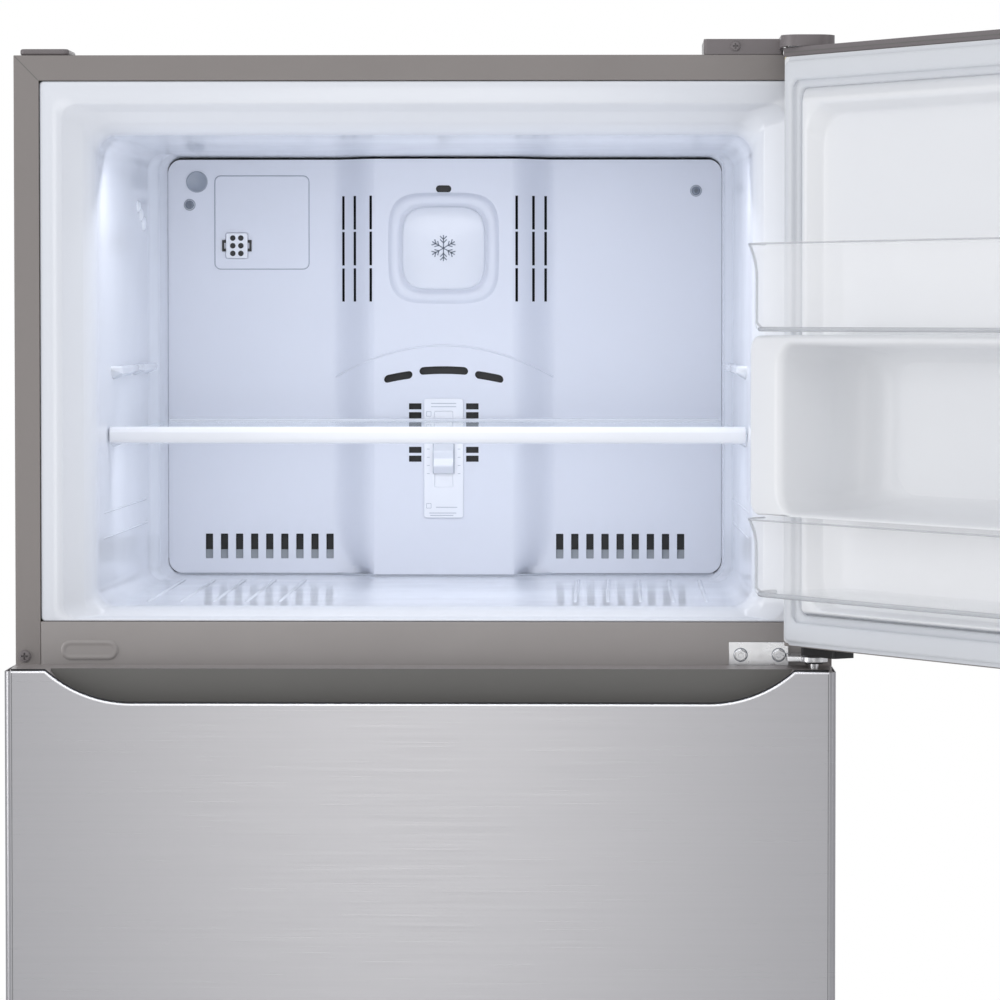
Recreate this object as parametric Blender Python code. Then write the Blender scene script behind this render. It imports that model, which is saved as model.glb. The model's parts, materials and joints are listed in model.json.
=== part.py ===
"""Top freezer refrigerator, with its freezer door standing open and its fridge door closed.

Everything is first placed in the cabinet's own frame: X to the right, Y from the front plane of
the cabinet towards its back, Z up from the floor, with X = 0 in the middle of the cabinet. At the
end the whole model is shifted so that the origin is the bottom centre of its bounding box.
All sizes are in metres.
"""

import math

import bmesh
import bpy
from mathutils import Matrix, Vector

# ---------------------------------------------------------------- driving dimensions
CABINET_WIDTH = 0.755
CABINET_DEPTH = 0.700
CABINET_TOP = 1.660
CABINET_BOTTOM = 0.030
DOOR_THICKNESS = 0.068
FREEZER_DOOR_ANGLE = 124.0  # degrees open at rest

SHEET = 0.0010  # steel sheet
PLASTIC = 0.0015  # vacuum-formed liner wall
GAP = 0.0003  # clearance between pieces that meet

FLANGE = 0.0233  # width of the cabinet's turned-in front edge
MULLION_BOTTOM = 1.060  # rail between the two compartments
MULLION_TOP = 1.137
BASE_LIP_TOP = 0.100  # front lip of the base tray, under the fridge compartment

GASKET_DEPTH = 0.012  # from the door's inner face to the cabinet
HINGE_INSET = 0.018  # hinge axis, from the cabinet's side
HINGE_FORWARD = 0.036  # hinge axis, in front of the cabinet
HINGE_PIN = 0.004  # pin radius
PIN_CLEARANCE = 0.0003

FREEZER_DOOR_BOTTOM = 1.118
FREEZER_DOOR_TOP = 1.664
FRIDGE_DOOR_BOTTOM = 0.070
FRIDGE_DOOR_TOP = 1.0985
END_CAP = 0.008  # plain cap at a door's far end
HANDLE_CAP = 0.0485  # deep cap that holds the pocket handle
HANDLE_DEPTH = 0.0296  # how far the cut-out dips into the door's sheet
HANDLE_HALF_FLAT = 0.262
HANDLE_HALF_WIDTH = 0.3405
SKIN_CORNER = 0.006  # folded vertical edge of a door's sheet

FREEZER_RIM_HALF = 0.3045
FREEZER_RIM_BOTTOM = 1.150
FREEZER_RIM_TOP = 1.588
FREEZER_BACK = 0.610
COVER_FRONT = 0.530  # evaporator cover
FRIDGE_RIM_HALF = 0.318
FRIDGE_RIM_BOTTOM = 0.125
FRIDGE_RIM_TOP = 1.048
FRIDGE_BACK = 0.620
STEP_FRONT = 0.420  # the fridge liner steps over the machine room
STEP_TOP = 0.345
MACHINE_ROOM_FRONT = 0.455
MACHINE_ROOM_TOP = 0.305
RIM_DEPTH = 0.030  # the liners' opening rims, behind the cabinet's front

BIN_WALL = 0.0022
BIN_DEPTH = 0.124
DYKE_HALF = 0.2955  # outer side of the raised frame on a door liner
DYKE_RISE = 0.098  # of the freezer door's, from its liner

HALF_WIDTH = CABINET_WIDTH / 2
INNER_HALF = HALF_WIDTH - FLANGE
DOOR_BACK = -GASKET_DEPTH
DOOR_FRONT = DOOR_BACK - DOOR_THICKNESS
HINGE_X = HALF_WIDTH - HINGE_INSET
HINGE_Y = -HINGE_FORWARD
LINER_FACE = DOOR_BACK - 0.0002
LINER_REAR = LINER_FACE - PLASTIC
CORNER_STEPS = 4

TAUPE = (0.245, 0.222, 0.212)
WHITE = (0.80, 0.83, 0.87)
STEEL = (0.56, 0.56, 0.58)
ZINC = (0.62, 0.62, 0.62)
BLACK = (0.02, 0.02, 0.022)
GREY = (0.30, 0.30, 0.31)
CLEAR = (0.88, 0.91, 0.94)
FOAM = (0.80, 0.72, 0.48)
RUBBER_GREY = (0.62, 0.64, 0.66)


# ---------------------------------------------------------------- modelling helpers
def rounded(u0, u1, v0, v1, radius, steps=CORNER_STEPS):
    """A rectangle with rounded corners, anticlockwise from the lower left corner."""
    radii = radius if isinstance(radius, tuple) else (radius,) * 4
    corners = ((u0, v0, 1, 1, 180), (u1, v0, -1, 1, 270), (u1, v1, -1, -1, 0), (u0, v1, 1, -1, 90))
    points = []
    for (u, v, right, up, start), r in zip(corners, radii):
        for step in range(steps + 1):
            angle = math.radians(start + 90 * step / steps)
            points.append((u + r * (right + math.cos(angle)), v + r * (up + math.sin(angle))))
    return points


def lift(points, axis, level):
    """Flat points placed at one level of an axis: x takes (y, z), y takes (x, z), z takes (x, y)."""
    if axis == "x":
        return [(level, u, v) for u, v in points]
    if axis == "y":
        return [(u, level, v) for u, v in points]
    return [(u, v, level) for u, v in points]


def new_object(name, mesh):
    bmesh.ops.remove_doubles(mesh, verts=mesh.verts, dist=1e-6)
    bmesh.ops.recalc_face_normals(mesh, faces=mesh.faces)
    data = bpy.data.meshes.new(name)
    mesh.to_mesh(data)
    mesh.free()
    thing = bpy.data.objects.new(name, data)
    bpy.context.collection.objects.link(thing)
    return thing


def skin(name, rings, closed=False):
    """A solid whose surface passes through the rings: capped at its ends, or a closed loop of rings."""
    mesh = bmesh.new()
    loops = [[mesh.verts.new(point) for point in ring] for ring in rings]
    following = loops[1:] + loops[:1] if closed else loops[1:]
    for ring, beyond in zip(loops, following):
        for i, point in enumerate(ring):
            j = (i + 1) % len(ring)
            mesh.faces.new((point, ring[j], beyond[j], beyond[i]))
    if not closed:
        mesh.faces.new(reversed(loops[0]))
        mesh.faces.new(loops[-1])
    return new_object(name, mesh)


def prism(name, outline, axis, low, high):
    return skin(name, [lift(outline, axis, low), lift(outline, axis, high)])


def box(name, x0, x1, y0, y1, z0, z1, radius=0.0, axis="z", steps=CORNER_STEPS):
    """A block, with its edges along one axis rounded."""
    spans = {"x": (y0, y1, z0, z1, x0, x1), "y": (x0, x1, z0, z1, y0, y1), "z": (x0, x1, y0, y1, z0, z1)}
    u0, u1, v0, v1, low, high = spans[axis]
    outline = rounded(u0, u1, v0, v1, radius, steps) if radius else [(u0, v0), (u1, v0), (u1, v1), (u0, v1)]
    return prism(name, outline, axis, low, high)


def turned(name, profile, centre, axis, sides=16):
    """A turned solid: profile is (radius, distance along the axis) from one end to the other."""
    rings = []
    for radius, along in profile:
        circle = []
        for side in range(sides):
            angle = 2 * math.pi * side / sides
            circle.append((radius * math.cos(angle), radius * math.sin(angle)))
        placed = [Vector(point) + Vector(centre) for point in lift(circle, axis, along)]
        rings.append(placed)
    return skin(name, rings)


def combine(target, tool, operation):
    """Joins a tool to the target, or cuts it away, and removes the tool."""
    modifier = target.modifiers.new("combine", "BOOLEAN")
    modifier.operation = operation
    modifier.solver = "EXACT"
    modifier.object = tool
    graph = bpy.context.evaluated_depsgraph_get()
    result = bpy.data.meshes.new_from_object(target.evaluated_get(graph))
    target.modifiers.clear()
    target.data = result
    bpy.data.objects.remove(tool)
    return target


def cut(target, *tools):
    for tool in tools:
        combine(target, tool, "DIFFERENCE")
    return target


def join(target, *tools):
    for tool in tools:
        combine(target, tool, "UNION")
    return target


def together(pieces):
    """Several separate closed shapes as one object, to cut them all at once."""
    mesh = bmesh.new()
    for piece in pieces:
        mesh.from_mesh(piece.data)
        bpy.data.objects.remove(piece)
    return new_object("tool", mesh)


def surface(name, colour, roughness, metallic=0.0, alpha=1.0):
    material = bpy.data.materials.get(name)
    if material is None:
        material = bpy.data.materials.new(name)
        material.use_nodes = True
        shader = material.node_tree.nodes["Principled BSDF"]
        shader.inputs["Base Color"].default_value = (*colour, 1.0)
        shader.inputs["Roughness"].default_value = roughness
        shader.inputs["Metallic"].default_value = metallic
        shader.inputs["Alpha"].default_value = alpha
    return material


def pivot(name, x, y, z, parent=None):
    empty = bpy.data.objects.new(name, None)
    bpy.context.collection.objects.link(empty)
    empty.parent = parent
    empty.location = Vector((x, y, z)) - (parent.location if parent else Vector())
    return empty


def settle(thing, group, colour, roughness, metallic=0.0, alpha=1.0, smooth=False):
    """Gives a piece its material, sets its origin in its middle and hangs it on its group's empty."""
    name = thing.name
    thing.data.name = name
    thing.data.materials.clear()
    thing.data.materials.append(surface(name, colour, roughness, metallic, alpha))
    if thing.type == "MESH":
        low = Vector([min(v.co[i] for v in thing.data.vertices) for i in range(3)])
        high = Vector([max(v.co[i] for v in thing.data.vertices) for i in range(3)])
        middle = (low + high) / 2
        for vertex in thing.data.vertices:
            vertex.co -= middle
        thing.location = middle
        if smooth:
            thing.data.shade_smooth()
            thing.data.set_sharp_from_angle(angle=math.radians(35))
    above = Vector()
    level = group
    while level is not None:
        above += level.location
        level = level.parent
    thing.parent = group
    thing.location -= above
    return thing


# ---------------------------------------------------------------- cabinet
def outer_shell():
    """Wrapper of two sides and a top in one sheet, with its front edge turned in."""

    def ring(wall, y):
        x, top, low = HALF_WIDTH, CABINET_TOP, CABINET_BOTTOM
        outline = ((-x, low), (-x, top), (x, top), (x, low), (x - wall, low))
        outline += ((x - wall, top - wall), (-x + wall, top - wall), (-x + wall, low))
        return lift(outline, "y", y)

    rings = [ring(FLANGE, 0), ring(FLANGE, SHEET), ring(SHEET, SHEET), ring(SHEET, CABINET_DEPTH)]
    return skin("outer_shell", rings)


def rail_outline(y0, y1, z0, z1, wall):
    """A channel open to the back."""
    outer = [(y1, z0), (y0, z0), (y0, z1), (y1, z1)]
    inner = [(y1, z1 - wall), (y0 + wall, z1 - wall), (y0 + wall, z0 + wall), (y1, z0 + wall)]
    return outer + inner


def mullion_rail():
    half = INNER_HALF - GAP
    outline = rail_outline(0, 0.012, MULLION_BOTTOM, MULLION_TOP, SHEET)
    return prism("mullion_rail", outline, "x", -half, half)


def liner(name, rings):
    """An open box of thin wall, from rings of (half width, bottom, top, corner radius, y, out, back)
    that run from the flange's edge to the rear wall. out and back say how the outer surface is
    offset from each ring: sideways on a wall, backwards on a flange, both on an edge."""
    inner = [lift(rounded(-x, x, low, top, r), "y", y) for x, low, top, r, y, out, back in rings]
    outer = []
    for x, low, top, r, y, out, back in rings:
        wide = out * PLASTIC
        outline = rounded(-x - wide, x + wide, low - wide, top + wide, r + wide)
        outer.append(lift(outline, "y", y + back * PLASTIC))
    return skin(name, list(reversed(inner)) + outer)


LEDGE_TOPS = (1.3070, 1.3720)  # freezer shelf and the spare place above it
LEDGE_HEIGHT = 0.011


def freezer_liner():
    edge = INNER_HALF - GAP
    x, low, top = FREEZER_RIM_HALF, FREEZER_RIM_BOTTOM, FREEZER_RIM_TOP
    rings = (
        (edge, MULLION_TOP + GAP, CABINET_TOP - FLANGE - GAP, 0.003, 0.0015, 0, 1),
        (edge - 0.0212, MULLION_TOP + 0.002, CABINET_TOP - FLANGE - 0.0210, 0.014, 0.0015, 0, 1),
        (x + 0.0098, low - 0.008, top + 0.0199, 0.016, 0.010, 0, 1),
        (x, low, top, 0.018, RIM_DEPTH, 1, 1),
        (x - 0.007, low - 0.001, top - 0.003, 0.018, 0.416, 1, 0),
        (x - 0.0155, low - 0.001, top - 0.003, 0.016, 0.440, 1, 0),
        (x - 0.0155, low - 0.001, top - 0.003, 0.016, FREEZER_BACK, 1, 1),
    )
    shell = liner("freezer_liner", rings)
    for side in (-1, 1):
        for ledge_top in LEDGE_TOPS:
            ends = sorted((side * (x - 0.0150), side * (x - 0.0040)))
            join(shell, box("ledge", *ends, 0.150, 0.405, ledge_top - LEDGE_HEIGHT, ledge_top))
    return shell


FRIDGE_SHELVES = (0.610, 0.800)  # undersides of the fridge shelves
CRISPER_COVER = 0.388


def fridge_liner():
    edge = INNER_HALF - GAP
    x, low, top = FRIDGE_RIM_HALF, FRIDGE_RIM_BOTTOM, FRIDGE_RIM_TOP
    rings = (
        (edge, BASE_LIP_TOP + GAP, MULLION_BOTTOM - GAP, 0.003, 0.0015, 0, 1),
        (edge - 0.020, BASE_LIP_TOP + 0.003, MULLION_BOTTOM - 0.003, 0.010, 0.0015, 0, 1),
        (x, low, top, 0.018, RIM_DEPTH, 1, 1),
        (x - 0.006, low, top - 0.002, 0.018, STEP_FRONT - 0.004, 1, 0),
        (x - 0.006, low + 0.004, top - 0.002, 0.018, STEP_FRONT, 1, 1),
        (x - 0.006, STEP_TOP, top - 0.002, 0.018, STEP_FRONT + 0.001, 1, 1),
        (x - 0.006, STEP_TOP, top - 0.002, 0.018, FRIDGE_BACK, 1, 1),
    )
    shell = liner("fridge_liner", rings)
    levels = [(z - GAP, 0.150, 0.540) for z in FRIDGE_SHELVES] + [(CRISPER_COVER - GAP, 0.150, 0.410)]
    for side in (-1, 1):
        for ledge_top, front, rear in levels:
            ends = sorted((side * (x - 0.0180), side * (x - 0.0042)))
            join(shell, box("ledge", *ends, front, rear, ledge_top - LEDGE_HEIGHT, ledge_top))
    return shell


FOOT_X, FOOT_Y, FOOT_RADIUS, STEM_RADIUS, STEM_TOP = 0.330, 0.045, 0.016, 0.005, 0.055


def cabinet_insulation():
    """Foam between the shell and the liners."""
    front = RIM_DEPTH + PLASTIC + GAP
    rear = CABINET_DEPTH - SHEET - GAP
    half = HALF_WIDTH - SHEET - GAP
    bottom = CABINET_BOTTOM + SHEET + GAP
    space = PLASTIC + GAP
    block = box("cabinet_insulation", -half, half, front, rear, bottom, CABINET_TOP - SHEET - GAP)
    past = front - 0.010
    half = FREEZER_RIM_HALF + space
    low, high = FREEZER_RIM_BOTTOM - 0.001 - space, FREEZER_RIM_TOP + space
    freezer = box("tool", -half, half, past, FREEZER_BACK + space, low, high)
    half = FRIDGE_RIM_HALF + space
    low, high = STEP_TOP - space, FRIDGE_RIM_TOP + space
    fridge = box("tool", -half, half, past, FRIDGE_BACK + space, low, high)
    low, high = FRIDGE_RIM_BOTTOM - space, STEP_TOP + 0.02
    lower = box("tool", -half, half, past, STEP_FRONT + 0.001 + space, low, high)
    machine = box("tool", -HALF_WIDTH, HALF_WIDTH, MACHINE_ROOM_FRONT, CABINET_DEPTH, 0, MACHINE_ROOM_TOP)
    cut(block, freezer, fridge, lower, machine)
    well = STEM_RADIUS + 0.003
    for side in (-1, 1):
        place = (side * FOOT_X, FOOT_Y, 0)
        cut(block, turned("tool", ((well, 0), (well, STEM_TOP + 0.003)), place, "z", 12))
    return block


def back_panel():
    half = HALF_WIDTH - SHEET - GAP
    face = CABINET_DEPTH
    low, high = MACHINE_ROOM_TOP + 0.002, CABINET_TOP - SHEET - GAP
    panel = box("back_panel", -half, half, face - SHEET, face, low, high)
    for side in (-1, 1):
        ends = sorted((side * 0.150, side * 0.165))
        join(panel, box("rib", *ends, face - SHEET / 2, face + 0.002, low + 0.078, high - 0.0987))
    return panel


ROLLER_X, ROLLER_Y, ROLLER_RADIUS, AXLE_RADIUS = 0.320, 0.640, 0.0145, 0.003
ROLLER_HALF = 0.011
EAR = 0.002


def base_tray():
    half = HALF_WIDTH - SHEET - GAP
    low, high = CABINET_BOTTOM, CABINET_BOTTOM + SHEET
    tray = box("base_tray", -half, half, SHEET + GAP, CABINET_DEPTH - SHEET - GAP, low, high)
    lip = box("lip", -INNER_HALF + GAP, INNER_HALF - GAP, 0, SHEET + 0.0008, low, BASE_LIP_TOP)
    join(tray, lip)
    thread = STEM_RADIUS + 0.0006
    bore = AXLE_RADIUS + 0.0004
    for side in (-1, 1):
        place = (side * FOOT_X, FOOT_Y, 0)
        cut(tray, turned("tool", ((thread, low - 0.01), (thread, high + 0.01)), place, "z", 12))
        for edge in (-1, 1):
            inner = side * ROLLER_X + edge * (ROLLER_HALF + 0.001)
            ends = sorted((inner, inner + edge * EAR))
            ear = box("ear", *ends, ROLLER_Y - 0.008, ROLLER_Y + 0.008, 0.006, low + SHEET / 2)
            place = (inner, ROLLER_Y, ROLLER_RADIUS)
            hole = turned("tool", ((bore, -0.01), (bore, 0.01)), place, "x", 12)
            join(tray, cut(ear, hole))
    return tray


def machine_room_wall():
    """Bent sheet that parts the machine room from the foam."""
    y, z, rear = MACHINE_ROOM_FRONT + GAP, MACHINE_ROOM_TOP - GAP, CABINET_DEPTH - SHEET - GAP
    floor = CABINET_BOTTOM + SHEET + GAP
    outline = ((y, floor), (y + SHEET, floor), (y + SHEET, z - SHEET), (rear, z - SHEET), (rear, z), (y, z))
    half = HALF_WIDTH - SHEET - GAP
    return prism("machine_room_wall", outline, "x", -half, half)


def machine_room_cover():
    half = HALF_WIDTH - SHEET - GAP
    low, top = CABINET_BOTTOM + SHEET + GAP, MACHINE_ROOM_TOP
    rear = CABINET_DEPTH
    cover = box("machine_room_cover", -half, half, rear - SHEET, rear, low, top)
    slots = []
    for middle in (-0.190, 0.190):
        for row in range(7):
            z = low + 0.055 + row * 0.026
            ends = (middle - 0.105, middle + 0.105)
            slots.append(box("tool", *ends, rear - 0.01, rear + 0.01, z, z + 0.008))
    return cut(cover, together(slots))


MACHINE_Y = 0.580  # middle of the compressor and of the condenser's fan
CONDENSER_FAN = (0.030, MACHINE_Y, 0.165)


def compressor():
    """Hermetic pot on a foot plate."""
    x, y, z = 0.215, MACHINE_Y, CABINET_BOTTOM + SHEET + GAP
    radius = 0.078
    profile = [(0.030, z + 0.012)]
    for step in range(5):
        angle = math.radians(90 * step / 4)
        profile.append((radius - 0.030 + 0.030 * math.sin(angle), z + 0.042 - 0.030 * math.cos(angle)))
    for step in range(5):
        angle = math.radians(90 * step / 4)
        profile.append((radius - 0.045 + 0.045 * math.cos(angle), z + 0.135 + 0.045 * math.sin(angle)))
    pot = turned("compressor", profile, (x, y, 0), "z", 20)
    plate = box("plate", x - 0.100, x + 0.100, y - 0.065, y + 0.065, z, z + 0.016, 0.012)
    return join(pot, plate)


def serpentine(name, x0, x1, y, z0, pitch, passes, radius):
    """A tube that runs to and fro in one plane, its passes joined by half turns."""
    points = []
    bend = pitch / 2
    for row in range(passes):
        z = z0 + row * pitch
        ends = (x0 + bend, x1 - bend) if row % 2 == 0 else (x1 - bend, x0 + bend)
        points += [(ends[0], y, z), (ends[1], y, z)]
        if row < passes - 1:
            side = 1 if row % 2 == 0 else -1
            for step in (1, 2, 3):
                angle = math.radians(-90 + 45 * step)
                across, up = bend * math.cos(angle), bend * math.sin(angle)
                points.append((ends[1] + side * across, y, z + bend + up))
    curve = bpy.data.curves.new(name, "CURVE")
    curve.dimensions = "3D"
    curve.bevel_depth = radius
    curve.bevel_resolution = 1
    curve.use_fill_caps = True
    spline = curve.splines.new("POLY")
    spline.points.add(len(points) - 1)
    for point, place in zip(spline.points, points):
        point.co = (*place, 1)
    thing = bpy.data.objects.new(name, curve)
    bpy.context.collection.objects.link(thing)
    return thing


def evaporator():
    """Finned block behind the evaporator cover."""
    half, rear, front = 0.220, FREEZER_BACK - 0.006, COVER_FRONT + 0.018
    pitch, fin, spine = 0.020, 0.003, 0.004
    outline = [(-half, rear), (-half, front)]
    count = int(2 * half / pitch)
    for index in range(count):
        left = -half + index * pitch
        outline += [(left, front), (left + fin, front)]
        outline += [(left + fin, rear - spine), (left + pitch, rear - spine)]
    last = -half + count * pitch
    outline += [(last, front), (last + fin, front), (last + fin, rear)]
    return prism("evaporator", outline[1:] + outline[:1], "z", 1.175, 1.370)


def fan(name, centre, axis, radius, depth, blades=5):
    """Hub with flat pitched blades, on an axis along x or y."""
    hub = turned(name, ((radius * 0.30, -depth / 2), (radius * 0.34, depth / 2)), (0, 0, 0), "z", 12)
    for blade in range(blades):
        plate = box("blade", radius * 0.25, radius, -radius * 0.22, radius * 0.22, -0.001, 0.001)
        pitch = Matrix.Rotation(math.radians(30), 4, "X")
        plate.data.transform(Matrix.Rotation(2 * math.pi * blade / blades, 4, "Z") @ pitch)
        join(hub, plate)
    lay = Matrix.Rotation(math.radians(90), 4, "Y" if axis == "x" else "X")
    hub.data.transform(Matrix.Translation(centre) @ lay)
    return hub


BULGE_BASE, BULGE_FLAT, BULGE_RISE = 0.1145, 0.0725, 0.027
COVER_HALF = FREEZER_RIM_HALF - 0.0155 - GAP
COVER_BOTTOM, COVER_TOP = 1.1545, 1.5826
COVER_WALL = 0.003
VENT_COUNT, VENT_PITCH, VENT_WIDTH = 9, 0.0158, 0.0077
VENT_BOTTOM, VENT_TOP = 1.166, 1.192
SLIT_COLUMNS = (0.0758, 0.0930, 0.1055)
SLIT_ROWS = ((1.5096, 1.5446), (1.4723, 1.5073), (1.4347, 1.4693))
SLIT_WIDTH = 0.0025


def evaporator_cover():
    """Rear panel of the freezer, with a raised middle and air vents."""
    front, raised = COVER_FRONT, COVER_FRONT - BULGE_RISE
    face = [(-COVER_HALF, front), (-BULGE_BASE, front), (-BULGE_FLAT, raised)]
    face += [(-x, y) for x, y in reversed(face)]
    back = [(x, y + COVER_WALL) for x, y in reversed(face)]
    cover = prism("evaporator_cover", face + back, "z", COVER_BOTTOM, COVER_TOP)
    outline = rounded(-COVER_HALF, COVER_HALF, COVER_BOTTOM, COVER_TOP, 0.014)
    combine(cover, prism("tool", outline, "y", raised - 0.01, front + 0.01), "INTERSECT")
    tools = []
    for side in (-1, 1):
        for index in range(VENT_COUNT):
            middle = side * (0.1202 + index * VENT_PITCH)
            ends = (middle - VENT_WIDTH / 2, middle + VENT_WIDTH / 2)
            tools.append(box("tool", *ends, front - 0.02, front + 0.02, VENT_BOTTOM, VENT_TOP))
        for x in SLIT_COLUMNS:
            for low, high in SLIT_ROWS:
                ends = (side * x - SLIT_WIDTH / 2, side * x + SLIT_WIDTH / 2)
                tools.append(box("tool", *ends, raised - 0.01, front + 0.02, low, high))
    cut(cover, together(tools))
    louvres = [box("tool", -0.0253, 0.0253, raised - 0.01, raised + 0.01, 1.3600, 1.3674, 0.0036, "y")]
    for side in (-1, 1):
        ends = sorted((side * 0.0312, side * 0.0600))
        louvres.append(box("tool", *ends, raised - 0.01, raised + 0.01, 1.3560, 1.3634, 0.0036, "y"))
    return cut(cover, together(louvres))


PLATE_HALF, PLATE_BOTTOM, PLATE_TOP, PLATE_THICK = 0.022, 1.210, 1.334, 0.002
PLATE_FACE = COVER_FRONT - BULGE_RISE - GAP - PLATE_THICK
SLIDER_Z = 1.272


def air_control_plate():
    face, rear = PLATE_FACE, PLATE_FACE + PLATE_THICK
    ends = (-PLATE_HALF, PLATE_HALF)
    plate = box("air_control_plate", *ends, face, rear, PLATE_BOTTOM, PLATE_TOP, 0.003, "y")
    return cut(plate, box("tool", -0.0030, 0.0030, face - 0.01, face + 0.01, 1.2450, 1.3200))


def air_slider():
    face = PLATE_FACE - GAP
    low = SLIDER_Z - 0.016
    outline = [(face, low), (face - 0.004, low + 0.001), (face - 0.010, low + 0.010)]
    outline += [(face - 0.010, low + 0.023), (face - 0.004, low + 0.031), (face, low + 0.032)]
    knob = prism("air_slider", outline, "x", -0.0105, 0.0105)
    stem = box("stem", -0.0022, 0.0022, face - 0.002, face + PLATE_THICK, low + 0.008, low + 0.024)
    return join(knob, stem)


def wiring_cover():
    face = COVER_FRONT - GAP
    return box("wiring_cover", -0.2397, -0.1420, face - 0.002, face, 1.469, 1.5655, 0.006, "y")


SHELF_FRONT, SHELF_REAR = 0.095, 0.500
SHELF_TRIM = 0.013
GLASS = 0.004
GLASS_BOTTOM = LEDGE_TOPS[0] + GAP


def freezer_shelf_glass():
    front = SHELF_FRONT + SHELF_TRIM + GAP
    low = GLASS_BOTTOM
    near, far = FREEZER_RIM_HALF - 0.0085, COVER_HALF - 0.0012
    outline = [(-near, front), (near, front), (far, SHELF_REAR), (-far, SHELF_REAR)]
    return prism("freezer_shelf_glass", outline, "z", low, low + GLASS)


def freezer_shelf_trim():
    half = FREEZER_RIM_HALF - 0.0035
    y, low, top = SHELF_FRONT, 1.299, 1.315
    outline = [(y + 0.002, low), (y + SHELF_TRIM, low), (y + SHELF_TRIM, top)]
    outline += [(y + 0.003, top), (y, top - 0.004), (y, low + 0.003)]
    return prism("freezer_shelf_trim", outline, "x", -half, half)


# ---------------------------------------------------------------- hinges and trim
def hinge_arm(name, x0, y1, low, high):
    """A flat arm from the cabinet to an eye round the hinge axis."""
    arm = box(name, x0, HINGE_X, HINGE_Y, y1, low, high)
    eye = turned("eye", ((0.0125, low), (0.0125, high)), (HINGE_X, HINGE_Y, 0), "z", 20)
    return join(arm, eye)


def hinge_pin(low, high):
    return turned("pin", ((HINGE_PIN, low), (HINGE_PIN, high)), (HINGE_X, HINGE_Y, 0), "z", 16)


def hinge_bore(low, high):
    """Tool for the hole a hinge pin turns in."""
    bore = HINGE_PIN + PIN_CLEARANCE
    return turned("tool", ((bore, low), (bore, high)), (HINGE_X, HINGE_Y, 0), "z", 16)


def top_hinge():
    low = FREEZER_DOOR_TOP + 0.0006
    plate = hinge_arm("top_hinge", 0.3345, 0.030, low, low + 0.0022)
    pad = box("pad", 0.2700, 0.3300, 0.008, 0.080, CABINET_TOP + GAP, low + 0.0022)
    neck = box("neck", 0.3200, 0.3400, 0.008, 0.030, low, low + 0.0022)
    return join(plate, neck, pad, hinge_pin(FREEZER_DOOR_TOP - END_CAP + GAP, low + 0.001))


def top_hinge_cover():
    """Cap over the hinge plate, with a rounded nose over the pin."""
    low, top = CABINET_TOP + GAP, CABINET_TOP + 0.0145
    nose_low, nose_top = FREEZER_DOOR_TOP + 0.0006, CABINET_TOP + 0.0150
    ceiling = nose_low + 0.0040
    right = HINGE_X + 0.0175
    cover = box("top_hinge_cover", 0.2590, 0.3330, 0.001, 0.095, low, top, 0.004)
    nose = box("nose", 0.3280, right, -0.056, 0.034, nose_low, nose_top, 0.0165, "z", 6)
    hollow = box("tool", 0.2610, 0.3312, 0.003, 0.093, low - 0.01, low + 0.0095)
    space = (0.3310, right - 0.0017, -0.0543, 0.0323)
    chamber = box("tool", *space, low - 0.01, ceiling, 0.0150, "z", 6)
    passage = box("tool", 0.3050, 0.3500, 0.0034, 0.0312, low - 0.01, ceiling)
    return cut(join(cover, nose), hollow, chamber, passage)


def middle_hinge():
    front, back = -0.0025, -GAP
    low, high = 1.1035, 1.1085
    plate = box("middle_hinge", 0.2825, 0.3375, front, back, 1.097, 1.119)
    arm = hinge_arm("arm", 0.3352, front + 0.001, low, high)
    return join(plate, arm, hinge_pin(FRIDGE_DOOR_TOP - 0.010, FREEZER_DOOR_BOTTOM + 0.010))


def bottom_hinge():
    high = FRIDGE_DOOR_BOTTOM - 0.003
    arm = hinge_arm("bottom_hinge", 0.3380, -0.0010, high - 0.004, high)
    leg = box("leg", 0.3360, 0.3520, -0.0030, -GAP, CABINET_BOTTOM + 0.006, high)
    return join(arm, leg, hinge_pin(high - 0.002, FRIDGE_DOOR_BOTTOM + END_CAP - GAP))


def mullion_plug():
    return box("mullion_plug", -0.3355, -0.2825, -0.0016, -GAP, 1.1014, 1.1200, 0.0088, "y")


def top_left_cap():
    low, high = CABINET_TOP + GAP, CABINET_TOP + 0.0060
    return box("top_left_cap", -0.3720, -0.3270, 0.003, 0.060, low, high, 0.005)


def toe_grille():
    left, right = -0.3600, 0.3300
    grille = box("toe_grille", left, right, -0.0150, -0.0120, 0.0120, 0.0600)
    for x in (left + 0.010, 0, right - 0.010):
        join(grille, box("rib", x - 0.002, x + 0.002, -0.0130, -0.0006, 0.0320, 0.0560))
    slots = []
    for row in range(3):
        for column in range(8):
            middle = left + 0.045 + column * 0.0857
            z = 0.0200 + row * 0.0110
            slots.append(box("tool", middle - 0.034, middle + 0.034, -0.020, -0.010, z, z + 0.005))
    return cut(grille, together(slots))


# ---------------------------------------------------------------- fridge interior
def framed_shelf(name, low, front, rear):
    """Glass shelf in a plastic frame, resting on the liner's ledges."""
    half = FRIDGE_RIM_HALF - 0.0072
    inner = half - 0.018
    shelf = box(name, -half, half, front, rear, low, low + 0.012)
    return cut(shelf, box("tool", -inner, inner, front + 0.018, rear - 0.014, low + 0.009, low + 0.02))


DRAWER_FRONT, DRAWER_REAR = 0.135, 0.405
DRAWER_BOTTOM, DRAWER_TOP = FRIDGE_RIM_BOTTOM + GAP, 0.360
DRAWER_OUTER, DRAWER_INNER = FRIDGE_RIM_HALF - 0.0225, 0.003


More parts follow.
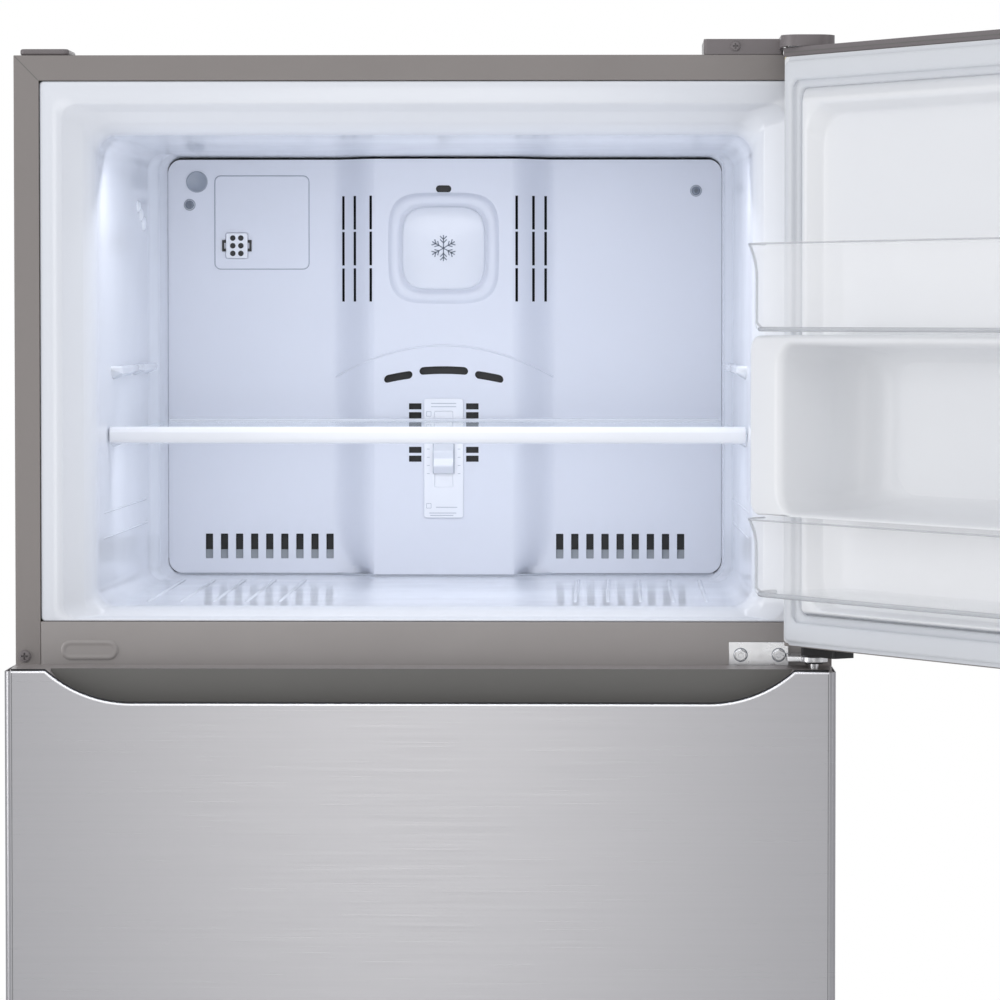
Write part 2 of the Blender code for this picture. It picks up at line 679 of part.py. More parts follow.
def crisper_drawer(name, left, right):
    """Open drawer with a thicker pull front and a grip under its rim."""
    wall = 0.0025
    y0, y1, z0, z1 = DRAWER_FRONT, DRAWER_REAR, DRAWER_BOTTOM, DRAWER_TOP
    drawer = box(name, left, right, y0, y1, z0, z1, 0.010, "z", 3)
    space = (left + wall, right - wall, y0 + 0.010, y1 - wall)
    inside = box("tool", *space, z0 + wall, z1 + 0.05, 0.010, "z", 3)
    middle = (left + right) / 2
    ends = (middle - 0.060, middle + 0.060)
    grip = box("tool", *ends, y0 - 0.01, y0 + 0.006, z1 - 0.045, z1 - 0.018, 0.008, "y", 3)
    return cut(drawer, inside, grip)


def duct_tower():
    face, rear = FRIDGE_BACK - 0.032, FRIDGE_BACK - GAP
    tower = box("duct_tower", -0.110, 0.110, face, rear, 0.450, 1.030, 0.012, "y")
    slots = []
    for row in range(3):
        for side in (-1, 1):
            z = 0.560 + row * 0.165
            ends = sorted((side * 0.030, side * 0.085))
            slots.append(box("tool", *ends, face - 0.01, face + 0.020, z, z + 0.012))
    return cut(tower, together(slots))


CEILING = FRIDGE_RIM_TOP - 0.002
CONTROL_FRONT, CONTROL_REAR, CONTROL_LOW = 0.200, 0.330, 1.005
DIAL_Z = 1.0270


def control_housing():
    front, rear, low, top = CONTROL_FRONT, CONTROL_REAR, CONTROL_LOW, CEILING - GAP
    outline = ((front, top), (front, low + 0.004), (front + 0.010, low), (rear, low), (rear, top))
    return prism("control_housing", outline, "x", -0.130, 0.130)


def control_dial():
    face = CONTROL_FRONT - GAP
    profile = ((0.0130, face), (0.0145, face - 0.003), (0.0120, face - 0.014))
    dial = turned("control_dial", profile, (0, 0, DIAL_Z), "y", 20)
    pointer = box("pointer", -0.0015, 0.0015, face - 0.0155, face - 0.010, DIAL_Z, DIAL_Z + 0.011)
    return join(dial, pointer)


def lamp_cover():
    return box("lamp_cover", -0.075, 0.075, CONTROL_REAR + GAP, 0.450, 1.018, CEILING - GAP, 0.015)


def foot(name, x):
    wide, thin = FOOT_RADIUS, STEM_RADIUS
    profile = ((wide - 0.002, 0), (wide, 0.002), (wide, 0.008))
    profile += ((0.010, 0.012), (thin, 0.012), (thin, STEM_TOP))
    return turned(name, profile, (x, FOOT_Y, 0), "z", 16)


def roller(name, x):
    half = ROLLER_HALF
    end = half + 0.001 + EAR + 0.001
    profile = ((AXLE_RADIUS, -end), (AXLE_RADIUS, -half), (ROLLER_RADIUS, -half))
    profile += ((ROLLER_RADIUS, half), (AXLE_RADIUS, half), (AXLE_RADIUS, end))
    return turned(name, profile, (x, ROLLER_Y, ROLLER_RADIUS), "x", 24)


def drain_pan():
    x0, x1, y0, y1 = -0.340, -0.090, 0.500, 0.670
    low = CABINET_BOTTOM + SHEET + GAP
    wall = 0.002
    pan = box("drain_pan", x0, x1, y0, y1, low, low + 0.030, 0.012)
    space = (x0 + wall, x1 - wall, y0 + wall, y1 - wall)
    return cut(pan, box("tool", *space, low + wall, low + 0.05, 0.010))


# ---------------------------------------------------------------- doors
def handle_outline(edge, inward, depth, half_flat, half_width):
    """Cut-out of a pocket handle in a door's end: flat in the middle, rising to the end in two arcs."""
    run = half_width - half_flat
    radius = (run * run + depth * depth) / (2 * depth)
    points = []
    steps = 6
    for step in range(steps + 1):
        across = run * step / steps
        dip = depth - (radius - math.sqrt(radius * radius - across * across))
        points.append((half_flat + across, edge + inward * dip))
    mirrored = [(-x, z) for x, z in reversed(points)]
    return mirrored + points


def door_skin(name, low, high, handle_edge, inward):
    """Sheet folded round the door's vertical edges, with the handle's cut-out at one end."""
    half, front, rear = HALF_WIDTH, DOOR_FRONT, DOOR_BACK - 0.004
    notch = handle_outline(handle_edge, inward, HANDLE_DEPTH, HANDLE_HALF_FLAT, HANDLE_HALF_WIDTH)
    flat = half - SKIN_CORNER
    if inward < 0:
        outline = [(-flat, low), (flat, low), (flat, high)] + list(reversed(notch)) + [(-flat, high)]
    else:
        outline = [(-flat, low)] + notch + [(flat, low), (flat, high), (-flat, high)]
    mesh = bmesh.new()
    face = [mesh.verts.new(point) for point in lift(outline, "y", front)]
    mesh.faces.new(face)
    for side in (-1, 1):
        edge = [point for point in face if abs(point.co.x - side * flat) < 1e-6]
        previous = sorted(edge, key=lambda point: point.co.z)
        path = []
        for step in (1, 2, 3):
            angle = math.radians(30 * step)
            path.append((flat + SKIN_CORNER * math.sin(angle), front + SKIN_CORNER * (1 - math.cos(angle))))
        path.append((half, rear))
        for x, y in path:
            column = [mesh.verts.new((side * x, y, point.co.z)) for point in previous]
            mesh.faces.new((previous[0], previous[1], column[1], column[0]))
            previous = column
    thing = new_object(name, mesh)
    if thing.data.polygons[0].normal.y > 0:
        thing.data.flip_normals()
    modifier = thing.modifiers.new("sheet", "SOLIDIFY")
    modifier.thickness = SHEET
    modifier.offset = -1
    modifier.use_even_offset = True
    graph = bpy.context.evaluated_depsgraph_get()
    thing.data = bpy.data.meshes.new_from_object(thing.evaluated_get(graph))
    thing.modifiers.clear()
    return thing


INSIDE_HALF = HALF_WIDTH - SHEET - GAP
INSIDE_FRONT = DOOR_FRONT + SHEET + GAP


def plain_cap(name, low, high):
    corner = SKIN_CORNER
    radii = (corner, corner, 0.001, 0.001)
    cap = box(name, -HALF_WIDTH, HALF_WIDTH, DOOR_FRONT, DOOR_BACK - 0.001, low, high, radii)
    return cut(cap, hinge_bore(low - 0.01, high + 0.01))


def handle_cap(name, edge, inward):
    """Moulded end of a door with the finger pocket behind the sheet's cut-out. edge is the door's
    end and inward points from it into the door."""
    far = edge + inward * HANDLE_CAP
    back = LINER_REAR - GAP
    set_back = 0.0065
    outline = ((INSIDE_FRONT, edge + inward * set_back), (INSIDE_FRONT, far), (back, far), (back, edge))
    outline += ((HINGE_Y - 0.012, edge + inward * 0.0015),)
    cap = prism(name, outline, "x", -INSIDE_HALF, INSIDE_HALF)
    past = edge - inward * 0.010
    shallow = handle_outline(edge, inward, HANDLE_DEPTH + 0.0008, HANDLE_HALF_FLAT, HANDLE_HALF_WIDTH)
    deep = handle_outline(edge, inward, HANDLE_DEPTH + 0.015, HANDLE_HALF_FLAT, HANDLE_HALF_WIDTH)
    ends = [(HANDLE_HALF_WIDTH, past), (-HANDLE_HALF_WIDTH, past)]
    lip = prism("tool", shallow + ends, "y", INSIDE_FRONT - 0.01, INSIDE_FRONT + 0.0025)
    pocket = prism("tool", deep + ends, "y", INSIDE_FRONT + 0.0020, INSIDE_FRONT + 0.0290)
    hole = hinge_bore(*sorted((past, edge + inward * 0.014)))
    for side in (-1, 1):
        corner_x = sorted((side * (INSIDE_HALF - 0.004), side * (INSIDE_HALF + 0.01)))
        levels = sorted((past, far + inward * 0.01))
        cut(cap, box("tool", *corner_x, INSIDE_FRONT - 0.01, INSIDE_FRONT + 0.004, *levels))
    return cut(cap, lip, pocket, hole)


def door_insulation(name, low, high):
    corner = 0.005
    radii = (corner, corner, 0, 0)
    rear = LINER_REAR - GAP
    return box(name, -INSIDE_HALF, INSIDE_HALF, INSIDE_FRONT, rear, low + GAP, high - GAP, radii)


RIDGE_INSET = 0.029  # from the liner's edge to its low ridge


def door_liner(name, low, high, frame_low, frame_high, pocket_low, pocket_high, rise, bar):
    """Inner pan: a flat edge for the gasket, a low ridge, and a raised frame round a pocket."""
    face, rear = LINER_FACE, LINER_REAR
    crest = face + 0.014
    steps = (
        (HALF_WIDTH - 0.003, low, high, 0.004, face),
        (INNER_HALF - 0.0117, low + RIDGE_INSET, high - RIDGE_INSET - 0.001, 0.008, face),
        (INNER_HALF - 0.0252, low + 0.0315, high - 0.0400, 0.014, crest),
        (INNER_HALF - 0.0327, low + 0.0340, high - 0.0460, 0.014, crest),
        (INNER_HALF - 0.0407, low + 0.0365, high - 0.0550, 0.014, face),
    )
    rings = [lift(rounded(-x, x, z0, z1, r), "y", y) for x, z0, z1, r, y in reversed(steps)]
    x, z0, z1, r, y = steps[0]
    rings.append(lift(rounded(-x, x, z0, z1, r), "y", rear))
    pan = skin(name, rings)
    taper = 0.002
    top = LINER_FACE + rise
    outer, inner = DYKE_HALF, DYKE_HALF - bar
    frame = (
        (inner, pocket_low, pocket_high, 0.016, face - PLASTIC / 2),
        (inner + taper, pocket_low - taper / 2, pocket_high + taper / 2, 0.018, top - 0.004),
        (inner + 0.006, pocket_low - 0.0015, pocket_high + 0.003, 0.020, top),
        (outer - 0.006, frame_low + 0.0015, frame_high - 0.003, 0.008, top),
        (outer - taper, frame_low + taper / 2, frame_high - taper / 2, 0.010, top - 0.004),
        (outer, frame_low, frame_high, 0.012, face - PLASTIC / 2),
    )
    rings = [lift(rounded(-x, x, z0, z1, r), "y", y) for x, z0, z1, r, y in frame]
    return join(pan, skin("frame", rings, closed=True))


def gasket(name, liner_low, liner_high):
    """Magnetic seal on the flat edge of a door's liner. It stays inside the hinge axis, so that it
    lifts off the cabinet without rubbing."""
    outer, inner = HINGE_X + 0.0015, HALF_WIDTH - 0.0345
    width = RIDGE_INSET
    low, high = liner_low - 0.001, liner_high + 0.0005
    near, far = DOOR_BACK + GAP, -GAP
    rings = []
    for x, inset, y in ((outer, 0, near), (outer, 0, far), (inner, width, far), (inner, width, near)):
        rings.append(lift(rounded(-x, x, low + inset, high - inset, 0.004), "y", y))
    return skin(name, rings, closed=True)


def door_bin(name, half, low, height, depth):
    """Clear bin with rounded front corners, flared at its rim."""
    back = LINER_FACE + GAP
    wall = BIN_WALL
    front = back + depth

    def ring(shrink, reach, z):
        radii = (0.004, 0.004, 0.036 - shrink, 0.036 - shrink)
        outline = rounded(-half + shrink, half - shrink, back + shrink, reach - shrink, radii, 5)
        return lift(outline, "z", z)

    upright = front - 0.008
    flare = low + height * 0.75
    rings = (
        ring(wall, upright, low + wall),
        ring(wall, upright, flare),
        ring(wall, front, low + height),
        ring(0, front, low + height),
        ring(0, upright, flare),
        ring(0, upright, low + 0.004),
        ring(0.004, upright, low),
    )
    return skin(name, rings)


def door_stop():
    """Plastic arm under the freezer door that meets the hinge when the door is fully open."""
    low, high = FREEZER_DOOR_BOTTOM - 0.0085, FREEZER_DOOR_BOTTOM - GAP
    half = 0.012
    ends = (HINGE_X - 0.046, HINGE_X)
    arm = box("freezer_door_stop", *ends, HINGE_Y - half, HINGE_Y + half, low, high, 0.003)
    eye = turned("eye", ((half, low), (half, high)), (HINGE_X, HINGE_Y, 0), "z", 16)
    return cut(join(arm, eye), hinge_bore(low - 0.01, high + 0.01))


DAIRY_FLOOR, DAIRY_TOP = 0.868, 1.006
DAIRY_HINGE_Y, DAIRY_HINGE_Z = 0.052, 0.996


def dairy_cover():
    """Flap over the dairy compartment, hinged along its top."""
    bend, wall = 0.020, 0.0025
    y, z = DAIRY_HINGE_Y - 0.012, DAIRY_HINGE_Z - 0.012
    foot_z = DAIRY_FLOOR + 0.012
    outer, inner = [], []
    for path, radius in ((outer, bend), (inner, bend - wall)):
        for step in range(4):
            angle = math.radians(30 * step)
            path.append((y + radius * math.sin(angle), z + radius * math.cos(angle)))
        path.append((y + radius, foot_z))
    half = DYKE_HALF - 0.040
    return prism("dairy_cover", outer + list(reversed(inner)), "x", -half, half)


def fridge_door_liner(low, high):
    pan = door_liner("fridge_door_liner", low, high, 0.150, 1.030, 0.172, 1.014, 0.070, 0.036)
    half = DYKE_HALF - 0.030
    near, far = LINER_FACE - PLASTIC / 2, LINER_FACE + 0.064
    return join(pan, box("shelf", -half, half, near, far, DAIRY_FLOOR - 0.006, DAIRY_FLOOR))


# ---------------------------------------------------------------- assembly
def clear_scene():
    for thing in list(bpy.data.objects):
        bpy.data.objects.remove(thing)


COIL_SPAN = (-0.330, -0.100, 0.560)  # left, right, and how far back it stands
SHELF_DEPTHS = (0.145, 0.560)
EVAPORATOR_FAN_Z = 1.440
FREEZER_BINS = (("upper", 1.4063, 0.0775), ("lower", 1.1735, 0.0690))  # name, underside, height
FRIDGE_BINS = (("upper", 0.560), ("lower", 0.210))


def build():
    origin = pivot("refrigerator", 0, 0, 0)
    cabinet = pivot("cabinet_group", 0, 0, 0, origin)
    freezer_door = pivot("freezer_door_axis", HINGE_X, HINGE_Y, 0, origin)
    fridge_door = pivot("fridge_door_axis", HINGE_X, HINGE_Y, 0, origin)

    for thing, colour, roughness, metallic in (
        (outer_shell(), TAUPE, 0.45, 0.0),
        (mullion_rail(), TAUPE, 0.40, 0.0),
        (back_panel(), ZINC, 0.45, 0.6),
        (base_tray(), ZINC, 0.50, 0.8),
        (machine_room_wall(), ZINC, 0.50, 0.8),
        (machine_room_cover(), GREY, 0.60, 0.0),
        (toe_grille(), TAUPE, 0.55, 0.0),
        (top_hinge(), ZINC, 0.35, 1.0),
        (middle_hinge(), ZINC, 0.30, 1.0),
        (bottom_hinge(), ZINC, 0.35, 1.0),
        (top_hinge_cover(), TAUPE, 0.45, 0.0),
        (top_left_cap(), TAUPE, 0.45, 0.0),
        (mullion_plug(), TAUPE, 0.45, 0.0),
        (freezer_liner(), WHITE, 0.25, 0.0),
        (fridge_liner(), WHITE, 0.25, 0.0),
        (cabinet_insulation(), FOAM, 0.90, 0.0),
        (evaporator(), ZINC, 0.40, 1.0),
        (evaporator_cover(), WHITE, 0.30, 0.0),
        (air_control_plate(), WHITE, 0.30, 0.0),
        (wiring_cover(), WHITE, 0.30, 0.0),
        (framed_shelf("fridge_shelf_lower", FRIDGE_SHELVES[0], *SHELF_DEPTHS), CLEAR, 0.10, 0.0),
        (framed_shelf("fridge_shelf_upper", FRIDGE_SHELVES[1], *SHELF_DEPTHS), CLEAR, 0.10, 0.0),
        (framed_shelf("crisper_cover", CRISPER_COVER, *SHELF_DEPTHS), CLEAR, 0.10, 0.0),
        (duct_tower(), WHITE, 0.30, 0.0),
        (control_housing(), WHITE, 0.30, 0.0),
        (lamp_cover(), CLEAR, 0.35, 0.0),
        (compressor(), BLACK, 0.35, 0.0),
        (drain_pan(), GREY, 0.50, 0.0),
        (serpentine("condenser_coil", *COIL_SPAN, 0.085, 0.026, 8, 0.0032), BLACK, 0.40, 0.5),
    ):
        settle(thing, cabinet, colour, roughness, metallic)

    dial_axis = pivot("control_dial_axis", 0, CONTROL_FRONT, DIAL_Z, cabinet)
    settle(control_dial(), dial_axis, WHITE, 0.30)
    settle(air_slider(), pivot("air_slider_guide", 0, PLATE_FACE, SLIDER_Z, cabinet), WHITE, 0.25)
    shelf = pivot("freezer_shelf_guide", 0, SHELF_FRONT, GLASS_BOTTOM, cabinet)
    settle(freezer_shelf_glass(), shelf, CLEAR, 0.08, 0.0, 0.5)
    settle(freezer_shelf_trim(), shelf, WHITE, 0.22)
    middle = (0, (COVER_FRONT + FREEZER_BACK) / 2, EVAPORATOR_FAN_Z)
    axis = pivot("evaporator_fan_axis", *middle, cabinet)
    settle(fan("evaporator_fan", middle, "y", 0.050, 0.024), axis, WHITE, 0.40)
    axis = pivot("condenser_fan_axis", *CONDENSER_FAN, cabinet)
    settle(fan("condenser_fan", CONDENSER_FAN, "x", 0.070, 0.030), axis, BLACK, 0.40)
    for name, side in (("left", -1), ("right", 1)):
        left, right = sorted((side * DRAWER_INNER, side * DRAWER_OUTER))
        place = ((left + right) / 2, DRAWER_FRONT, DRAWER_BOTTOM)
        guide = pivot(f"crisper_{name}_guide", *place, cabinet)
        settle(crisper_drawer(f"crisper_drawer_{name}", left, right), guide, CLEAR, 0.12, 0.0, 0.5)
    for name, side in (("left", -1), ("right", 1)):
        axis = pivot(f"foot_{name}_axis", side * FOOT_X, FOOT_Y, 0, cabinet)
        settle(foot(f"levelling_foot_{name}", side * FOOT_X), axis, GREY, 0.50, 0.0, 1.0, True)
        axis = pivot(f"roller_{name}_axis", side * ROLLER_X, ROLLER_Y, ROLLER_RADIUS, cabinet)
        settle(roller(f"roller_{name}", side * ROLLER_X), axis, BLACK, 0.50, 0.0, 1.0, True)

    low, high = FREEZER_DOOR_BOTTOM, FREEZER_DOOR_TOP
    body_low, body_high = low + HANDLE_CAP, high - END_CAP
    liner_low, liner_high = low + 0.003, body_high - 0.002
    skin_low = low + 0.001
    frame = (1.2435, 1.4035, 1.2490, 1.3930, DYKE_RISE, 0.050)
    for thing, colour, roughness, metallic in (
        (door_skin("freezer_door_skin", skin_low, body_high - GAP, skin_low, 1), STEEL, 0.30, 1.0),
        (plain_cap("freezer_door_top_cap", body_high, high), TAUPE, 0.45, 0.0),
        (handle_cap("freezer_door_handle_cap", low, 1), TAUPE, 0.45, 0.0),
        (door_insulation("freezer_door_insulation", body_low, body_high), FOAM, 0.90, 0.0),
        (door_liner("freezer_door_liner", liner_low, liner_high, *frame), WHITE, 0.28, 0.0),
        (gasket("freezer_door_gasket", liner_low, liner_high), RUBBER_GREY, 0.60, 0.0),
        (door_stop(), BLACK, 0.50, 0.0),
    ):
        settle(thing, freezer_door, colour, roughness, metallic)
    for name, z, height in FREEZER_BINS:
        thing = door_bin(f"freezer_door_bin_{name}", 0.2835, z, height, BIN_DEPTH)
        settle(thing, freezer_door, CLEAR, 0.08, 0.0, 0.4)

    low, high = FRIDGE_DOOR_BOTTOM, FRIDGE_DOOR_TOP
    body_low, body_high = low + END_CAP, high - HANDLE_CAP
    liner_low, liner_high = body_low + 0.002, high - 0.008
    skin_high = high - 0.0009
    for thing, colour, roughness, metallic in (
        (door_skin("fridge_door_skin", body_low + GAP, skin_high, skin_high, -1), STEEL, 0.30, 1.0),
        (plain_cap("fridge_door_bottom_cap", low, body_low), TAUPE, 0.45, 0.0),
        (handle_cap("fridge_door_handle_cap", high, -1), TAUPE, 0.45, 0.0),
        (door_insulation("fridge_door_insulation", body_low, body_high), FOAM, 0.90, 0.0),
        (fridge_door_liner(liner_low, liner_high), WHITE, 0.28, 0.0),
        (gasket("fridge_door_gasket", liner_low, liner_high), RUBBER_GREY, 0.60, 0.0),
    ):
        settle(thing, fridge_door, colour, roughness, metallic)
    for name, z in FRIDGE_BINS:
        thing = door_bin(f"fridge_door_bin_{name}", DYKE_HALF - 0.0395, z, 0.110, 0.105)
        settle(thing, fridge_door, CLEAR, 0.08, 0.0, 0.4)
    dairy = pivot("dairy_cover_axis", 0, DAIRY_HINGE_Y, DAIRY_HINGE_Z, fridge_door)
    dairy.location = Vector((0, DAIRY_HINGE_Y, DAIRY_HINGE_Z)) - fridge_door.location
    settle(dairy_cover(), dairy, CLEAR, 0.10, 0.0, 0.5)

    freezer_door.rotation_euler.z = math.radians(FREEZER_DOOR_ANGLE)
    return origin


def centre_on_box(origin):
    """Moves the model so that its box stands on the origin, centred over it."""
    bpy.context.view_layer.update()
    graph = bpy.context.evaluated_depsgraph_get()
    points = []
    for thing in bpy.context.scene.objects:
        if thing.type == "EMPTY":
            continue
        evaluated = thing.evaluated_get(graph)
        mesh = evaluated.to_mesh()
        points += [evaluated.matrix_world @ vertex.co for vertex in mesh.vertices]
        evaluated.to_mesh_clear()
    low = [min(point[i] for point in points) for i in range(3)]
    high = [max(point[i] for point in points) for i in range(3)]
    origin.location = (-(low[0] + high[0]) / 2, -(low[1] + high[1]) / 2, -low[2])
    print("cabinet frame starts at", [round(value, 6) for value in origin.location])


clear_scene()
centre_on_box(build())
bpy.context.view_layer.update()
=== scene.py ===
"""Looks of the top freezer refrigerator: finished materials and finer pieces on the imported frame.

Shapes are built in the cabinet's own frame, with X = 0 in its middle, Y from its front plane towards
its back and Z up from the floor, and are then moved to where the frame stands. A door's pieces are
built as if the door were shut, and are then turned with it. Sizes are in metres.
"""
import json
import math

import bmesh
import bpy
from mathutils import Matrix, Vector

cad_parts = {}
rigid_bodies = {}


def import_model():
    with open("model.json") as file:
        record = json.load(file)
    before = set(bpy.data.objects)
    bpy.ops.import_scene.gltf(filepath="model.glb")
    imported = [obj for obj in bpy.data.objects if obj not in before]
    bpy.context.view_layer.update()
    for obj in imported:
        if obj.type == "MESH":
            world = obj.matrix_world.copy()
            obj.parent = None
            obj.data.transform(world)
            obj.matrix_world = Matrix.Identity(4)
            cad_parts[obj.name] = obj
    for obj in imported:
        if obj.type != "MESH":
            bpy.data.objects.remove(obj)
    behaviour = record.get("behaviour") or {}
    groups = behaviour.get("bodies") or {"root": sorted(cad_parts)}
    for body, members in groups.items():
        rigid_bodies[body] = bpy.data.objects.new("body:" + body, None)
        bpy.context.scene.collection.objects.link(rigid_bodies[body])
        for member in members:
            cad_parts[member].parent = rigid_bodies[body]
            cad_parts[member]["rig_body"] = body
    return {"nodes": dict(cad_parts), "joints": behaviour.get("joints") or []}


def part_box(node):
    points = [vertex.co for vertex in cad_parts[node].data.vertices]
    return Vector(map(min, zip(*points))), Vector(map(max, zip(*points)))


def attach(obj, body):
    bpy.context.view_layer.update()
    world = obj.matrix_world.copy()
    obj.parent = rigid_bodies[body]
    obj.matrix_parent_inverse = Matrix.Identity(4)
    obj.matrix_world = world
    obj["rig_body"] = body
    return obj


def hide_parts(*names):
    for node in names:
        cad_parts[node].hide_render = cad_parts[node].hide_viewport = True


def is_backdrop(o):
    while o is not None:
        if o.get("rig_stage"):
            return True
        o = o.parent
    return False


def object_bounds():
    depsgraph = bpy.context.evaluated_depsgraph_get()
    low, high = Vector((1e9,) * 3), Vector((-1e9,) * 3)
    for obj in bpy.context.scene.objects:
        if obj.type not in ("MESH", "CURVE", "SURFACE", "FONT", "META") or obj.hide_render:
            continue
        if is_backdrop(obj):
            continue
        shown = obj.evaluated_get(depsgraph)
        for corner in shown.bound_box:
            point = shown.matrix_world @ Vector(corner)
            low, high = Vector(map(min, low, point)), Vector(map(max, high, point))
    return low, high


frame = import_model()
cad_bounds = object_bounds()

# ---------------------------------------------------------------- places in the frame
shell_low, shell_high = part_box("outer_shell")
HALF_WIDTH = (shell_high.x - shell_low.x) / 2
CABINET_TOP = shell_high.z
CABINET_DEPTH = shell_high.y - shell_low.y
CABINET = Matrix.Translation(((shell_low.x + shell_high.x) / 2, shell_low.y, 0))

joints = {joint["name"]: joint for joint in frame["joints"]}
hinge_line = Matrix.Translation((*joints["freezer_door_hinge"]["pos_m"][:2], 0))
door_angle = -math.radians(joints["freezer_door_hinge"]["range_deg"][0])
FREEZER_DOOR = hinge_line @ Matrix.Rotation(door_angle, 4, "Z") @ hinge_line.inverted() @ CABINET


SIDES = ((-1, "left"), (1, "right"))


def place_of(body):
    return FREEZER_DOOR if body == "freezer_door" else CABINET


def body_of(node):
    return frame["nodes"][node]["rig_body"]


def span(node):
    """A CAD node's x, y and z limits in the cabinet's frame, with the doors shut."""
    back = place_of(body_of(node)).inverted()
    points = [back @ vertex.co for vertex in frame["nodes"][node].data.vertices]
    return [limit(point[i] for point in points) for i in range(3) for limit in (min, max)]


# ---------------------------------------------------------------- modelling helpers
def rounded(u0, u1, v0, v1, radius, steps=10):
    """A rectangle with rounded corners, anticlockwise from the lower left corner."""
    radii = radius if isinstance(radius, tuple) else (radius,) * 4
    corners = ((u0, v0, 1, 1, 180), (u1, v0, -1, 1, 270), (u1, v1, -1, -1, 0), (u0, v1, 1, -1, 90))
    points = []
    for (u, v, right, up, start), r in zip(corners, radii):
        for step in range(steps + 1):
            angle = math.radians(start + 90 * step / steps)
            points.append((u + r * (right + math.cos(angle)), v + r * (up + math.sin(angle))))
    return points


def squircle(half, u, v, power=3.6, count=72):
    """A square with bowed sides and soft corners."""
    points = []
    for step in range(count):
        angle = 2 * math.pi * step / count
        across, up = math.cos(angle), math.sin(angle)
        reach = (abs(across) ** power + abs(up) ** power) ** (-1 / power)
        points.append((u + half * reach * across, v + half * reach * up))
    return points


def lift(points, axis, level):
    """Flat points at one level of an axis: x takes (y, z), y takes (x, z), z takes (x, y)."""
    if axis == "x":
        return [(level, u, v) for u, v in points]
    if axis == "y":
        return [(u, level, v) for u, v in points]
    return [(u, v, level) for u, v in points]


def linked(name, data):
    thing = bpy.data.objects.new(name, data)
    bpy.context.scene.collection.objects.link(thing)
    return thing


def from_bmesh(name, mesh):
    data = bpy.data.meshes.new(name)
    mesh.to_mesh(data)
    mesh.free()
    return linked(name, data)


def new_piece(name, mesh):
    bmesh.ops.remove_doubles(mesh, verts=mesh.verts, dist=2e-6)
    bmesh.ops.recalc_face_normals(mesh, faces=mesh.faces)
    return from_bmesh(name, mesh)


def loft(name, rings, closed=False):
    """A solid whose surface passes through the rings: capped at its ends, or a closed loop of rings."""
    mesh = bmesh.new()
    loops = [[mesh.verts.new(point) for point in ring] for ring in rings]
    following = loops[1:] + loops[:1] if closed else loops[1:]
    for ring, beyond in zip(loops, following):
        for i, point in enumerate(ring):
            j = (i + 1) % len(ring)
            mesh.faces.new((point, ring[j], beyond[j], beyond[i]))
    if not closed:
        mesh.faces.new(reversed(loops[0]))
        mesh.faces.new(loops[-1])
    return new_piece(name, mesh)


def prism(name, outline, axis, low, high):
    return loft(name, [lift(outline, axis, low), lift(outline, axis, high)])


def band(name, outer, inner, y0, y1):
    """A flat ring between two outlines that face the front."""
    rings = [lift(outer, "y", y0), lift(inner, "y", y0), lift(inner, "y", y1), lift(outer, "y", y1)]
    return loft(name, rings, closed=True)


def block(name, x0, x1, y0, y1, z0, z1, radius=0.0, axis="z", steps=8):
    """A block, with its edges along one axis rounded."""
    spans = {"x": (y0, y1, z0, z1, x0, x1), "y": (x0, x1, z0, z1, y0, y1), "z": (x0, x1, y0, y1, z0, z1)}
    u0, u1, v0, v1, low, high = spans[axis]
    square = [(u0, v0), (u1, v0), (u1, v1), (u0, v1)]
    outline = rounded(u0, u1, v0, v1, radius, steps) if radius else square
    return prism(name, outline, axis, low, high)


def turned(name, profile, centre, axis, sides=32):
    """A turned solid: profile is (radius, distance along the axis) from one end to the other."""
    rings = []
    for radius, along in profile:
        angles = [2 * math.pi * side / sides for side in range(sides)]
        circle = [(radius * math.cos(angle), radius * math.sin(angle)) for angle in angles]
        rings.append([Vector(point) + Vector(centre) for point in lift(circle, axis, along)])
    return loft(name, rings)


def tube(name, points, radius, bevel_steps=4):
    """A round rod along a path."""
    curve = bpy.data.curves.new(name, "CURVE")
    curve.dimensions = "3D"
    curve.bevel_depth = radius
    curve.bevel_resolution = bevel_steps
    curve.use_fill_caps = True
    spline = curve.splines.new("POLY")
    spline.points.add(len(points) - 1)
    for point, place in zip(spline.points, points):
        point.co = (*place, 1)
    return settle_mesh(linked(name, curve))


def settle_mesh(piece):
    """The piece with its modifiers applied, or its curve turned into a mesh."""
    graph = bpy.context.evaluated_depsgraph_get()
    data = bpy.data.meshes.new_from_object(piece.evaluated_get(graph))
    if piece.type == "MESH":
        piece.modifiers.clear()
        piece.data = data
        return piece
    name = piece.name
    solid = linked(name, data)
    bpy.data.objects.remove(piece)
    solid.name = name
    return solid


def combine(target, tool, operation):
    modifier = target.modifiers.new("combine", "BOOLEAN")
    modifier.operation = operation
    modifier.solver = "EXACT"
    modifier.object = tool
    settle_mesh(target)
    bpy.data.objects.remove(tool)
    return target


def merged(name, pieces):
    """Several shapes as one object."""
    mesh = bmesh.new()
    for piece in pieces:
        mesh.from_mesh(piece.data)
        bpy.data.objects.remove(piece)
    return from_bmesh(name, mesh)


def soften(piece, width, segments=3, angle=30):
    """Rounds the edges that are sharper than an angle, and shades the rest smoothly."""
    modifier = piece.modifiers.new("edges", "BEVEL")
    modifier.width = width
    modifier.segments = segments
    modifier.limit_method = "ANGLE"
    modifier.angle_limit = math.radians(angle)
    piece.data.shade_smooth()
    piece.data.set_sharp_from_angle(angle=math.radians(60))
    return level_normals(piece)


def level_normals(piece):
    """Large flat faces keep their shading flat next to small rounded ones."""
    modifier = piece.modifiers.new("normals", "WEIGHTED_NORMAL")
    modifier.mode = "FACE_AREA"
    modifier.weight = 100
    modifier.keep_sharp = True
    return piece


